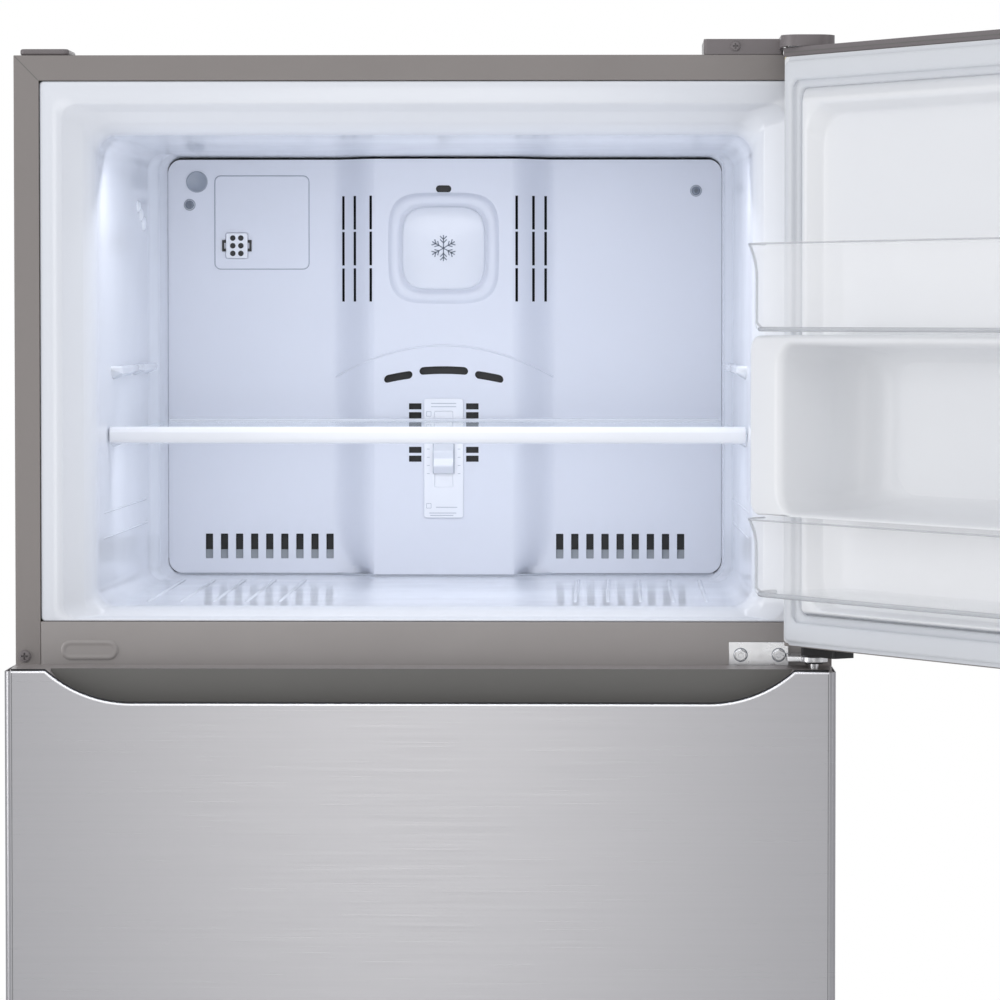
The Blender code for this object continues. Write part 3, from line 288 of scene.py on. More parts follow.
def smooth(piece, angle=35):
    piece.data.shade_smooth()
    piece.data.set_sharp_from_angle(angle=math.radians(angle))
    return piece


def dress(piece, finish, body, *replaced):
    """Gives a piece its material, moves it from the cabinet's frame to its body and lets it ride."""
    piece.data.materials.clear()
    piece.data.materials.append(finish)
    piece.data.transform(place_of(body))
    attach(piece, body)
    if replaced:
        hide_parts(*replaced)
    return piece


def refine(node, finish, width=0.0005, angle=30, segments=2):
    """A copy of a CAD node with rounded edges and smooth shading, which stands for it."""
    mesh = bmesh.new()
    mesh.from_mesh(frame["nodes"][node].data)
    bmesh.ops.remove_doubles(mesh, verts=mesh.verts, dist=1e-5)
    bmesh.ops.dissolve_limit(
        mesh, angle_limit=math.radians(0.6), verts=mesh.verts, edges=mesh.edges,
        use_dissolve_boundaries=False
    )
    piece = from_bmesh(node + "_finish", mesh)
    piece.data.materials.append(finish)
    if width:
        soften(piece, width, segments, angle)
    else:
        level_normals(smooth(piece))
    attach(piece, body_of(node))
    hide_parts(node)
    return piece


# ---------------------------------------------------------------- materials
class Finish:
    """A Principled material whose sockets are driven by noise in the object's own space."""

    def __init__(self, name, colour, roughness, metallic=0.0, **sockets):
        self.material = bpy.data.materials.new(name)
        self.material.use_nodes = True
        self.nodes = self.material.node_tree.nodes
        self.links = self.material.node_tree.links
        self.shader = self.nodes["Principled BSDF"]
        self.shader.inputs["Base Color"].default_value = (*colour, 1)
        self.shader.inputs["Roughness"].default_value = roughness
        self.shader.inputs["Metallic"].default_value = metallic
        for socket, value in sockets.items():
            self.shader.inputs[socket.replace("_", " ")].default_value = value
        self.colour = colour
        self.roughness = roughness
        self.place = self.nodes.new("ShaderNodeTexCoord").outputs["Object"]

    def noise(self, scale, stretch=(1, 1, 1), detail=3.0, rough=0.5):
        mapping = self.nodes.new("ShaderNodeMapping")
        mapping.inputs["Scale"].default_value = stretch
        self.links.new(self.place, mapping.inputs["Vector"])
        texture = self.nodes.new("ShaderNodeTexNoise")
        texture.inputs["Scale"].default_value = scale
        texture.inputs["Detail"].default_value = detail
        texture.inputs["Roughness"].default_value = rough
        self.links.new(mapping.outputs["Vector"], texture.inputs["Vector"])
        return texture.outputs["Fac"]

    def vary_roughness(self, source, spread):
        ramp = self.nodes.new("ShaderNodeMapRange")
        ramp.inputs["From Min"].default_value = 0.3
        ramp.inputs["From Max"].default_value = 0.7
        ramp.inputs["To Min"].default_value = max(self.roughness - spread, 0.02)
        ramp.inputs["To Max"].default_value = self.roughness + spread
        self.links.new(source, ramp.inputs["Value"])
        self.links.new(ramp.outputs["Result"], self.shader.inputs["Roughness"])
        return self

    def vary_colour(self, source, other):
        ramp = self.nodes.new("ShaderNodeValToRGB")
        ramp.color_ramp.elements[0].position = 0.30
        ramp.color_ramp.elements[1].position = 0.70
        ramp.color_ramp.elements[0].color = (*other, 1)
        ramp.color_ramp.elements[1].color = (*self.colour, 1)
        self.links.new(source, ramp.inputs["Fac"])
        self.links.new(ramp.outputs["Color"], self.shader.inputs["Base Color"])
        return self

    def bump(self, source, depth, strength=1.0):
        node = self.nodes.new("ShaderNodeBump")
        node.inputs["Distance"].default_value = depth
        node.inputs["Strength"].default_value = strength
        self.links.new(source, node.inputs["Height"])
        self.links.new(node.outputs["Normal"], self.shader.inputs["Normal"])
        return self

    def see_through(self, facing, grazing, edge_colour):
        """Thin clear plastic: nearly invisible face on, denser and greyer where seen along the wall."""
        weight = self.nodes.new("ShaderNodeLayerWeight")
        weight.inputs["Blend"].default_value = 0.45
        ramp = self.nodes.new("ShaderNodeMapRange")
        ramp.inputs["From Min"].default_value = 0.70
        ramp.inputs["To Min"].default_value = facing
        ramp.inputs["To Max"].default_value = grazing
        self.links.new(weight.outputs["Facing"], ramp.inputs["Value"])
        self.links.new(ramp.outputs["Result"], self.shader.inputs["Alpha"])
        tint = self.nodes.new("ShaderNodeValToRGB")
        tint.color_ramp.elements[0].position = 0.60
        tint.color_ramp.elements[1].position = 0.95
        tint.color_ramp.elements[0].color = (*self.colour, 1)
        tint.color_ramp.elements[1].color = (*edge_colour, 1)
        self.links.new(weight.outputs["Facing"], tint.inputs["Fac"])
        self.links.new(tint.outputs["Color"], self.shader.inputs["Base Color"])
        return self


def shade(colour, factor):
    return tuple(value * factor for value in colour)


def moulded(name, colour, roughness, grain=0.00002, spread=0.05, **sockets):
    """Moulded plastic: slight flow marks in the gloss and a very fine grain."""
    finish = Finish(name, colour, roughness, **sockets)
    finish.vary_roughness(finish.noise(9, detail=4), spread)
    finish.vary_colour(finish.noise(4, detail=2), shade(colour, 0.975))
    return finish.bump(finish.noise(700, detail=2), grain, 0.6).material


def painted(name, colour, roughness, metallic=0.0):
    """Paint with a little orange peel."""
    finish = Finish(name, colour, roughness, metallic)
    finish.vary_roughness(finish.noise(14, detail=5), 0.06)
    finish.vary_colour(finish.noise(3, detail=4), shade(colour, 0.95))
    return finish.bump(finish.noise(420, detail=2), 0.00006, 0.5).material


def brushed(name, colour, roughness, stretch, depth=0.000008):
    """Metal with hairlines along the axis that the stretch leaves long."""
    finish = Finish(name, colour, roughness, 1.0)
    hairs = finish.noise(1.0, stretch, detail=6, rough=0.65)
    finish.vary_roughness(hairs, 0.03)
    finish.vary_colour(finish.noise(1.0, shade(stretch, 0.35), detail=4), shade(colour, 0.975))
    return finish.bump(hairs, depth, 0.25).material


def plated(name, colour, roughness):
    """Zinc plating: cloudy, with fine scratches."""
    finish = Finish(name, colour, roughness, 1.0)
    finish.vary_roughness(finish.noise(60, detail=6), 0.12)
    finish.vary_colour(finish.noise(25, detail=5), shade(colour, 0.80))
    return finish.bump(finish.noise(300, (1, 1, 5), detail=4), 0.00008, 0.5).material


def clear_plastic(name, colour, facing, grazing, edge=(0.42, 0.45, 0.49)):
    finish = Finish(name, colour, 0.06, IOR=1.49)
    finish.vary_roughness(finish.noise(6, detail=3), 0.03)
    return finish.see_through(facing, grazing, edge).material


LINER_WHITE = (0.80, 0.825, 0.88)
DOOR_WHITE = (0.85, 0.86, 0.88)
TAUPE_PAINT = (0.255, 0.232, 0.222)
DARK = (0.004, 0.004, 0.005)

liner_plastic = moulded("liner_plastic", LINER_WHITE, 0.14, spread=0.03)
panel_plastic = moulded("panel_plastic", (0.76, 0.785, 0.86), 0.38, grain=0.00004)
badge_plastic = moulded("badge_plastic", (0.76, 0.785, 0.85), 0.20)
door_plastic = moulded("door_plastic", DOOR_WHITE, 0.32, spread=0.02)
trim_white = moulded("trim_white", (0.84, 0.86, 0.91), 0.18)
gasket_rubber = moulded("gasket_rubber", (0.70, 0.72, 0.755), 0.55, grain=0.00005)
taupe_paint = painted("taupe_paint", TAUPE_PAINT, 0.42)
# painted light: a lighter copy of the taupe paint for the rail between the compartments, where it catches
# more light
taupe_paint_lit = painted("taupe_paint_lit", (0.36, 0.335, 0.325), 0.38)
taupe_plastic = moulded("taupe_plastic", (0.185, 0.165, 0.168), 0.40, grain=0.00006)
cap_plastic = moulded("cap_plastic", (0.275, 0.250, 0.242), 0.40, grain=0.00006)
# dark taupe: the mitre joints, the painted shade of the top cap's groove and the darker sheet at the back
# of the finger pockets
dark_taupe_joint_and_shade = moulded("dark_taupe_joint_and_shade", (0.150, 0.147, 0.138), 0.50, grain=0.00005)
# black plastic of real parts, also used for painted shade: the sheet behind the rear panel's slots and the
# rod beside the doors' rolled edges
black_plastic = moulded("black_plastic", DARK, 0.45, grain=0.00006)
grey_plastic = moulded("grey_plastic", (0.33, 0.36, 0.40), 0.45, grain=0.00005)
steel = brushed("brushed_steel", (0.43, 0.426, 0.442), 0.30, (7, 7, 1500))
# painted highlight: a far lighter copy of the brushed steel for the rolled edge of the door sheets
steel_painted_highlight = brushed("brushed_steel_painted_highlight", (0.95, 0.95, 0.97), 0.25, (7, 7, 1500))
zinc = plated("zinc_plate", (0.84, 0.84, 0.85), 0.30)
zinc_bolt = plated("zinc_bolt", (0.74, 0.74, 0.75), 0.22)
galvanised = plated("galvanised_sheet", (0.55, 0.56, 0.57), 0.42)
pipe_black = painted("pipe_enamel", (0.015, 0.015, 0.016), 0.35)
pot_black = painted("compressor_enamel", (0.012, 0.012, 0.013), 0.30)
copper = plated("copper_pipe", (0.72, 0.33, 0.18), 0.30)
foam = moulded("rigid_foam", (0.78, 0.70, 0.46), 0.85, grain=0.0006, spread=0.1)
fins = brushed("fin_aluminium", (0.75, 0.76, 0.77), 0.35, (900, 900, 12))
clear_bin = clear_plastic("clear_bin", (0.95, 0.955, 0.97), 0.14, 0.60, (0.62, 0.65, 0.69))
clear_rim = clear_plastic("clear_rim", (0.56, 0.58, 0.61), 0.55, 0.95, (0.26, 0.28, 0.31))
clear_drawer = clear_plastic("clear_drawer", (0.80, 0.87, 0.93), 0.25, 0.9)
shelf_frame = moulded("shelf_frame", (0.80, 0.85, 0.90), 0.20)
lamp_lens = moulded("lamp_lens", (0.93, 0.94, 0.96), 0.30)
# grey for print and dark screws, also painted shade: the ring round the foot of each hinge bolt
print_and_shade_grey = moulded("printed_and_shade_grey", (0.22, 0.25, 0.30), 0.45)
# painted shade in seams and gaps (hatch seam, slider gaps, foot of the door ridges), and the ink of the
# control plate's marks
seam_shade_and_print_grey = moulded("seam_shade_and_print", (0.36, 0.40, 0.47), 0.55)
# painted shade: a mid-grey that stands for the shade in the thin gap round the rear panel
painted_gap_shade = moulded("painted_gap_shade_sheet", (0.50, 0.53, 0.59), 0.55)
painted_fold_shade = moulded("fold_shadow", (0.17, 0.17, 0.175), 0.50)

glass = Finish("tempered_glass", (0.86, 0.95, 0.95), 0.03, IOR=1.5)
glass.vary_roughness(glass.noise(12, detail=3), 0.015)
glass.bump(glass.noise(5, detail=2), 0.0002, 0.15)
glass = glass.see_through(0.08, 0.85, (0.72, 0.84, 0.86)).material


# ---------------------------------------------------------------- cabinet front
def screw(name, x, z, y, radius, finish):
    """Pan head screw that faces the front, with a cross recess."""
    profile = [
        (radius, y), (radius, y - radius * 0.18), (radius * 0.80, y - radius * 0.42),
        (radius * 0.35, y - radius * 0.5)
    ]
    head = turned(name, profile, (x, 0, z), "y", 24)
    arm, wide, deep = radius * 0.55, radius * 0.14, radius * 0.4
    for reach, width in ((arm, wide), (wide, arm)):
        front, rear = y - radius, y - radius * 0.5 + deep
        tool = block("tool", x - reach, x + reach, front, rear, z - width, z + width)
        combine(head, tool, "DIFFERENCE")
    return dress(smooth(head, 30), finish, "cabinet")


def hexagon_bolt(name, x, z, y, across_flats, height):
    """Flanged hexagon head with a chamfered top and a small dimple."""
    radius = across_flats / math.sqrt(3)
    flange = [(radius * 1.02, y), (radius * 1.02, y - 0.0005), (radius * 0.97, y - 0.0009)]
    washer = turned(name + "_flange", flange, (x, 0, z), "y", 32)
    # painted shade: a dark ring just wider than the flange, round the foot of the bolt
    painted_shade_ring = [(radius * 1.13, y + 0.0001), (radius * 1.13, y - 0.0001)]
    dress(turned(name + "_seat", painted_shade_ring, (x, 0, z), "y", 32), print_and_shade_grey, "cabinet")

    def ring(scale, level):
        corners = [math.radians(30 + 60 * side) for side in range(6)]
        return [
            (x + radius * scale * math.cos(a), level, z + radius * scale * math.sin(a))
            for a in corners
        ]

    top = y - height
    rings = [
        ring(0.97, y - 0.0006), ring(0.97, top + 0.0006), ring(0.86, top), ring(0.45, top),
        ring(0.38, top + 0.0007)
    ]
    head = loft(name, rings)
    dress(smooth(washer), zinc_bolt, "cabinet")
    return dress(smooth(head, 20), zinc_bolt, "cabinet")


def cabinet_front():
    refine("outer_shell", taupe_paint, 0.0006)
    # the rail and its plug cover take the lighter copy of the taupe paint: painted light
    refine("mullion_rail", taupe_paint_lit, 0.0008)
    # dark mitre lines where the side flanges meet the top flange
    z = CABINET_TOP - 0.0006
    run = HALF_WIDTH - span("mullion_rail")[1]
    for side, label in SIDES:
        outline = [(side * (HALF_WIDTH - 0.0012), z), (side * (HALF_WIDTH - run), z - run + 0.0006)]
        outline += [
            (side * (HALF_WIDTH - run), z - run - 0.0004),
            (side * (HALF_WIDTH - 0.0012), z - 0.0010)
        ]
        seam = prism(f"mitre_{label}", outline, "y", -0.00004, 0.0004)
        dress(seam, dark_taupe_joint_and_shade, "cabinet")
    plug = span("mullion_plug")
    x0, x1, z0, z1 = plug[0], plug[1], plug[4], plug[5]
    rings = []
    for inset, y in (
        (0, 0.0), (0, -0.0005), (0.0012, -0.0014), (0.0030, -0.0016), (0.0040, -0.0011),
        (0.0060, -0.0010)
    ):
        outline = rounded(x0 + inset, x1 - inset, z0 + inset, z1 - inset, 0.0090 - inset)
        rings.append(lift(outline, "y", y))
    dress(smooth(loft("plug_cover", rings), 50), taupe_paint_lit, "cabinet", "mullion_plug")
    screw("flange_screw", -HALF_WIDTH + 0.0085, 1.105, 0, 0.0058, finish=taupe_plastic)
    refine("top_left_cap", taupe_plastic, 0.0018, segments=4)


def top_hinge_parts():
    refine("top_hinge_cover", taupe_plastic, 0.0015, segments=4)
    refine("top_hinge", zinc, 0.0004)
    screw("hinge_cover_screw", 0.288, CABINET_TOP + 0.0078, 0.0008, 0.0046, finish=taupe_plastic)


HINGE_FORWARD = 0.036  # hinge axis, in front of the cabinet


def middle_hinge_parts():
    refine("middle_hinge", zinc, 0.0005, segments=2)
    face = span("middle_hinge")[3] - 0.0022
    for name, x in (("left", 0.2934), ("right", 0.3285)):
        hexagon_bolt(f"hinge_bolt_{name}", x, 1.1072, face, 0.0100, 0.0046)
    # spring arm and washers under the eye
    eye_x, eye_y = joints["freezer_door_hinge"]["pos_m"][0] - CABINET.translation.x, -HINGE_FORWARD
    for index, (radius, low, high, finish) in enumerate(
        ((0.0110, 1.1090, 1.1100, zinc_bolt), (0.0085, 1.1020, 1.1034, black_plastic))
    ):
        washer = turned(
            f"hinge_washer_{index + 1}", [(radius, low), (radius, high)], (eye_x, eye_y, 0), "z", 32
        )
        bore = turned("tool", [(0.0048, low - 0.01), (0.0048, high + 0.01)], (eye_x, eye_y, 0), "z", 24)
        dress(soften(combine(washer, bore, "DIFFERENCE"), 0.0003, 2), finish, "cabinet")


# ---------------------------------------------------------------- freezer compartment
def liner_loft(name, rings, wall=0.0012):
    """An open box of thin wall from (half width, bottom, top, corner radius, y, out, back) rings."""
    inner = [lift(rounded(-x, x, low, top, r), "y", y) for x, low, top, r, y, out, back in rings]
    outer = []
    for x, low, top, r, y, out, back in rings:
        wide = out * wall
        outer.append(
            lift(rounded(-x - wide, x + wide, low - wide, top + wide, r + wide), "y", y + back * wall)
        )
    return loft(name, list(reversed(inner)) + outer)


def freezer_lining():
    """The freezer's liner: flat edge, sloped band, rim, walls and the step at the rear corners."""
    low_z, high_z, edge = span("freezer_liner")[4], span("freezer_liner")[5], span("freezer_liner")[1]
    shelf = span("freezer_shelf_trim")
    x = shelf[1] + 0.0035
    cover = span("evaporator_cover")
    low, top = cover[4] - 0.0045, cover[5] + 0.0054
    back = span("freezer_liner")[3] - 0.0015
    rings = (
        (edge, low_z, high_z, 0.004, 0.0026, 0, 1),
        (edge - 0.0006, low_z + 0.0006, high_z - 0.0006, 0.004, 0.0016, 0, 1),
        (edge - 0.0016, low_z + 0.0010, high_z - 0.0016, 0.005, 0.0012, 0, 1),
        (edge - 0.0200, low_z + 0.0016, high_z - 0.0200, 0.014, 0.0012, 0, 1),
        (edge - 0.0212, low_z + 0.0020, high_z - 0.0212, 0.015, 0.0018, 0, 1),
        (edge - 0.0226, low_z + 0.0030, high_z - 0.0226, 0.016, 0.0032, 0, 1),
        (x + 0.0110, low - 0.0088, top + 0.0206, 0.016, 0.0085, 0, 1),
        (x + 0.0098, low - 0.0080, top + 0.0192, 0.016, 0.0098, 0, 1),
        (x + 0.0050, low - 0.0040, top + 0.0120, 0.017, 0.0140, 1, 1),
        (x + 0.0010, low - 0.0006, top + 0.0030, 0.018, 0.0240, 1, 1),
        (x, low, top, 0.018, 0.0300, 1, 1),
        (x - 0.0010, low - 0.0001, top - 0.0004, 0.018, 0.0400, 1, 0),
        (x - 0.0066, low - 0.0010, top - 0.0029, 0.018, 0.4080, 1, 0),
        (x - 0.0072, low - 0.0010, top - 0.0030, 0.018, 0.4160, 1, 0),
        (x - 0.0090, low - 0.0010, top - 0.0030, 0.018, 0.4220, 1, 0),
        (x - 0.0135, low - 0.0010, top - 0.0030, 0.016, 0.4340, 1, 0),
        (x - 0.0150, low - 0.0010, top - 0.0030, 0.016, 0.4400, 1, 0),
        (x - 0.0152, low - 0.0010, top - 0.0030, 0.016, 0.4500, 1, 0),
        (x - 0.0152, low - 0.0010, top - 0.0030, 0.016, back, 1, 1),
    )
    lining = smooth(liner_loft("freezer_lining", rings), 60)
    dress(lining, liner_plastic, "cabinet", "freezer_liner")
    shelf_ledges(x)
    return x, low


def wall_at(x, y):
    """Half width of the tapering side wall at a depth, where x is its half width at the rim."""
    return x - 0.0070 * (y - 0.03) / 0.386


def shelf_ledges(x):
    """Moulded rests on the side walls: one pair holds the shelf, the other is the spare place."""
    bottom = span("freezer_shelf_glass")[4]
    for place, top in (("shelf", bottom - 0.0003), ("spare", bottom + 0.0647)):
        for side, label in SIDES:
            name = f"{place}_rest_{label}"
            rings = []
            for y, reach, drop in (
                (0.120, 0.0010, 0.004), (0.128, 0.0085, 0.010), (0.140, 0.0105, 0.0125),
                (0.200, 0.0105, 0.0110),
                (0.262, 0.0100, 0.0105), (0.272, 0.0050, 0.0070), (0.284, 0.0050, 0.0070),
                (0.294, 0.0105, 0.0105),
                (0.395, 0.0110, 0.0105), (0.408, 0.0100, 0.0090), (0.414, 0.0030, 0.0040),
            ):
                wall = wall_at(x, y) + 0.0008
                inner = wall - reach - 0.0008
                outline = [(wall, top), (inner + 0.0015, top), (inner, top - 0.0015)]
                outline += [
                    (inner + 0.0005, top - drop * 0.6), (wall - 0.0020, top - drop),
                    (wall, top - drop)
                ]
                rings.append([(side * u, y, v) for u, v in outline])
            dress(smooth(soften(loft(name, rings), 0.0008, 2, 40), 60), liner_plastic, "cabinet")


def wall_details(x, low):
    """Bosses for an ice maker, long ribs on the side walls and low ribs on the floor."""
    for index, (y, z, size) in enumerate(
        ((0.330, 1.5290, 0.0062), (0.352, 1.5215, 0.0070), (0.374, 1.5130, 0.0076))
    ):
        wall = -wall_at(x, y)
        profile = [
            (size, wall - 0.001), (size * 0.92, wall + 0.0016), (size * 0.6, wall + 0.0030),
            (size * 0.2, wall + 0.0034)
        ]
        dress(
            smooth(turned(f"icemaker_boss_{index + 1}", profile, (0, y, z), "x", 24), 60),
            liner_plastic, "cabinet"
        )
    for side, label in SIDES:
        for row, z in enumerate((1.2345, 1.2105)):
            rings = []
            for y, reach in ((0.060, 0), (0.075, 0.0014), (0.385, 0.0014), (0.400, 0)):
                wall = wall_at(x, y) + 0.0004
                inner = wall - 0.0004 - reach
                outline = [(wall, z - 0.0016), (inner, z - 0.0005), (inner, z + 0.0005), (wall, z + 0.0016)]
                rings.append([(side * u, y, v) for u, v in outline])
            dress(smooth(loft(f"wall_rib_{label}_{row + 1}", rings), 60), liner_plastic, "cabinet")
    # low ribs on the floor that lead air to the rear vents
    ribs = []
    floor, wide = low - 0.0006, 0.0022
    for side in (-1, 1):
        for index in range(5):
            centre = side * (0.140 + index * 0.031)
            rings = []
            for y, height in ((0.085, 0), (0.100, 0.0013), (0.420, 0.0013), (0.440, 0)):
                outline = [(centre - wide, floor), (centre - 0.0008, floor + height + 0.0002)]
                outline += [(centre + 0.0008, floor + height + 0.0002), (centre + wide, floor)]
                rings.append(lift(outline, "y", y))
            ribs.append(loft("rib", rings))
    dress(smooth(merged("freezer_floor_ribs", ribs), 60), liner_plastic, "cabinet")


BULGE_BASE, BULGE_FLAT = 0.1145, 0.0725  # half widths of the raised middle, at its foot and on top
PANEL_CORNER = 0.014
VENTS = [side * (0.1202 + index * 0.0158) for side in (-1, 1) for index in range(9)]
VENT_HALF = 0.00385
VENT_BOTTOM, VENT_TOP = 1.166, 1.192
SLITS = (0.0758, 0.0930, 0.1055)
SLIT_ROWS = ((1.5096, 1.5446), (1.4723, 1.5073), (1.4347, 1.4693))
SLIT_HALF = 0.00135
AIR_SLOTS = ((-0.0253, 0.0253), (0.0325, 0.0620), (-0.0620, -0.0325))  # bowed, over the control
AIR_SLOT_HALF = 0.0040


def ease(value):
    value = min(max(value, 0), 1)
    return value * value * (3 - 2 * value)


def bulge(x, z, low):
    """How far the rear panel's middle stands out, from 0 at its base to 1 on its flat."""
    base, flat = BULGE_BASE, BULGE_FLAT
    foot = (low + 0.060 - z) / 0.060
    if foot > 0:
        base -= (base - flat - 0.012) * (1 - math.sqrt(max(1 - foot * foot, 0)))
    share = (base - abs(x)) / (base - flat)
    return ease(share * 0.92 + 0.04) if 0 < share < 1 else float(share >= 1)


def bowed_slot(x0, x1):
    """Outline of a slot that follows a shallow arch and has rounded ends."""
    upper, lower = [], []
    centre, reach = (x0 + x1) / 2, (x1 - x0) / 2
    for step in range(25):
        share = -math.cos(math.pi * step / 24)
        x = centre + reach * share
        middle = 1.3635 - 1.95 * x * x - (0.0025 if abs(centre) > 0.01 else 0)
        end = min(reach * (1 - abs(share)) / AIR_SLOT_HALF, 1)
        half = AIR_SLOT_HALF * math.sqrt(max(1 - (1 - end) ** 2, 0.01))
        upper.append((x, middle + half))
        lower.append((x, middle - half))
    return lower + list(reversed(upper))


def slot_tools(face, raised):
    """Everything that goes through the rear panel."""
    tools = []
    front, rear = raised - 0.01, raised + 0.02

    def opening(x0, x1, y0, y1, z0, z1, *corner):
        tools.append(block("tool", x0, x1, y0, y1, z0, z1, *corner))

    for side in (-1, 1):
        for x in [x for x in VENTS if x * side > 0]:
            opening(
                x - VENT_HALF, x + VENT_HALF, face - 0.02, face + 0.02, VENT_BOTTOM, VENT_TOP,
                0.0006, "y", 2
            )
        for x in SLITS:
            for z0, z1 in SLIT_ROWS:
                opening(side * x - SLIT_HALF, side * x + SLIT_HALF, front, face + 0.02, z0, z1)
        x0, x1 = sorted((side * 0.0232, side * 0.0362))
        for z in (1.3290, 1.3198, 1.2838, 1.2746):
            opening(x0, x1, front, rear, z - 0.0064, z, 0.0003, "y", 2)
    opening(-0.0080, 0.0080, front, rear, 1.5478, 1.5552, 0.0036, "y", 6)
    tools += [prism("tool", bowed_slot(x0, x1), "y", front, rear) for x0, x1 in AIR_SLOTS]
    return merged("tool", tools)


def rear_panel():
    """Evaporator cover: thin moulded sheet with a raised middle, soft edges and air slots."""
    x0, x1, raised, back, low, top = span("evaporator_cover")
    face = back - 0.003
    rise = face - raised
    mesh = bmesh.new()
    columns = sorted(
        {round(x0 + (x1 - x0) * step / 24, 5) for step in range(25)}
        | {round(side * (0.058 + 0.060 * step / 20), 5) for step in range(21) for side in (-1, 1)}
    )
    bottom = low - 0.0035
    rows = [bottom + (top - bottom) * step / 60 for step in range(61)]
    grid = {}
    for layer, shift in ((0, 0.0), (1, 0.0025)):
        for i, x in enumerate(columns):
            for j, z in enumerate(rows):
                y = face - rise * bulge(x, z, low) + shift
                grid[layer, i, j] = mesh.verts.new((x, y, z))
    wide, tall = len(columns) - 1, len(rows) - 1
    for layer in (0, 1):
        for i in range(wide):
            for j in range(tall):
                mesh.faces.new([grid[layer, i + a, j + b] for a, b in ((0, 0), (1, 0), (1, 1), (0, 1))])
    for i in range(wide):
        for j in (0, tall):
            mesh.faces.new([grid[0, i, j], grid[0, i + 1, j], grid[1, i + 1, j], grid[1, i, j]])
    for j in range(tall):
        for i in (0, wide):
            mesh.faces.new([grid[0, i, j], grid[0, i, j + 1], grid[1, i, j + 1], grid[1, i, j]])
    panel = new_piece("rear_panel", mesh)
    outline = rounded(x0 - 0.0001, x1 + 0.0001, bottom - 0.0001, top + 0.0001, PANEL_CORNER)
    combine(panel, prism("tool", outline, "y", raised - 0.02, back + 0.02), "INTERSECT")
    combine(panel, slot_tools(face, raised), "DIFFERENCE")
    dress(smooth(panel, 24), panel_plastic, "cabinet", "evaporator_cover")
    # painted shade: a black sheet behind the slots, following the same form, so the openings read dark
    margin, deep = 0.020, 0.0075
    half = x1 - margin
    stations = [-half, -BULGE_BASE, -BULGE_FLAT, BULGE_FLAT, BULGE_BASE, half]
    outline = [(x, face - rise * (abs(x) <= BULGE_FLAT) + deep) for x in stations]
    outline += [(x, y + 0.002) for x, y in reversed(outline)]
    dress(prism("slot_shade_sheet", outline, "z", low + margin, top - margin), black_plastic, "cabinet")
    sills = []
    for side in (-1, 1):
        ends = sorted((side * 0.112, side * 0.252))
        outline = [
            (face + 0.0028, 1.1640), (face + 0.0066, 1.1650), (face + 0.0066, 1.1752),
            (face + 0.0062, 1.1752)
        ]
        sills.append(prism("sill", outline, "x", *ends))
    dress(merged("vent_sills", sills), grey_plastic, "cabinet")
    grooves = []
    foot, tip = 1.1922, 1.2060
    for x in VENTS:
        outline = [(x - 0.0034, foot), (x + 0.0034, foot), (x + 0.0012, tip), (x - 0.0012, tip)]
        grooves.append(prism("groove", outline, "y", face - 0.0003, face + 0.0005))
    dress(merged("vent_flutes", grooves), panel_plastic, "cabinet")
    # painted shade: a mid-grey sheet in the gap round the panel, which stays open along the top, stands for
    # the gap's shade
    y0, y1 = face + 0.0004, face + 0.0020
    stations = [-x1, -BULGE_BASE, -BULGE_FLAT, BULGE_FLAT, BULGE_BASE, x1]
    line = [(x, y0 + 0.0010 - rise * (abs(x) <= BULGE_FLAT)) for x in stations]
    line += [(x, y + 0.0014) for x, y in reversed(line)]
    gap_shade_parts = [prism("gap_shade_parts", line, "z", low - 0.0054, bottom + 0.0004)]
    for side in (-1, 1):
        ends = sorted((side * (x1 - 0.0003), side * (x1 + 0.0006)))
        gap_shade_parts.append(block("gap_shade_parts", *ends, y0, y1, low + 0.012, top - 0.012))
    dress(merged("panel_gap_painted_shade", gap_shade_parts), painted_gap_shade, "cabinet")
    return face, raised, low


def embossed_arch(raised, face, low):
    """The shallow moulded arch over the air slots."""
    points = []
    for step in range(33):
        x = -0.1135 + 0.227 * step / 32
        z = 1.3892 - 2.55 * x * x
        points.append((x, face - (face - raised) * bulge(x, z, low) - 0.0001, z))
    dress(smooth(tube("arch_line", points, 0.0010, 2), 60), panel_plastic, "cabinet")


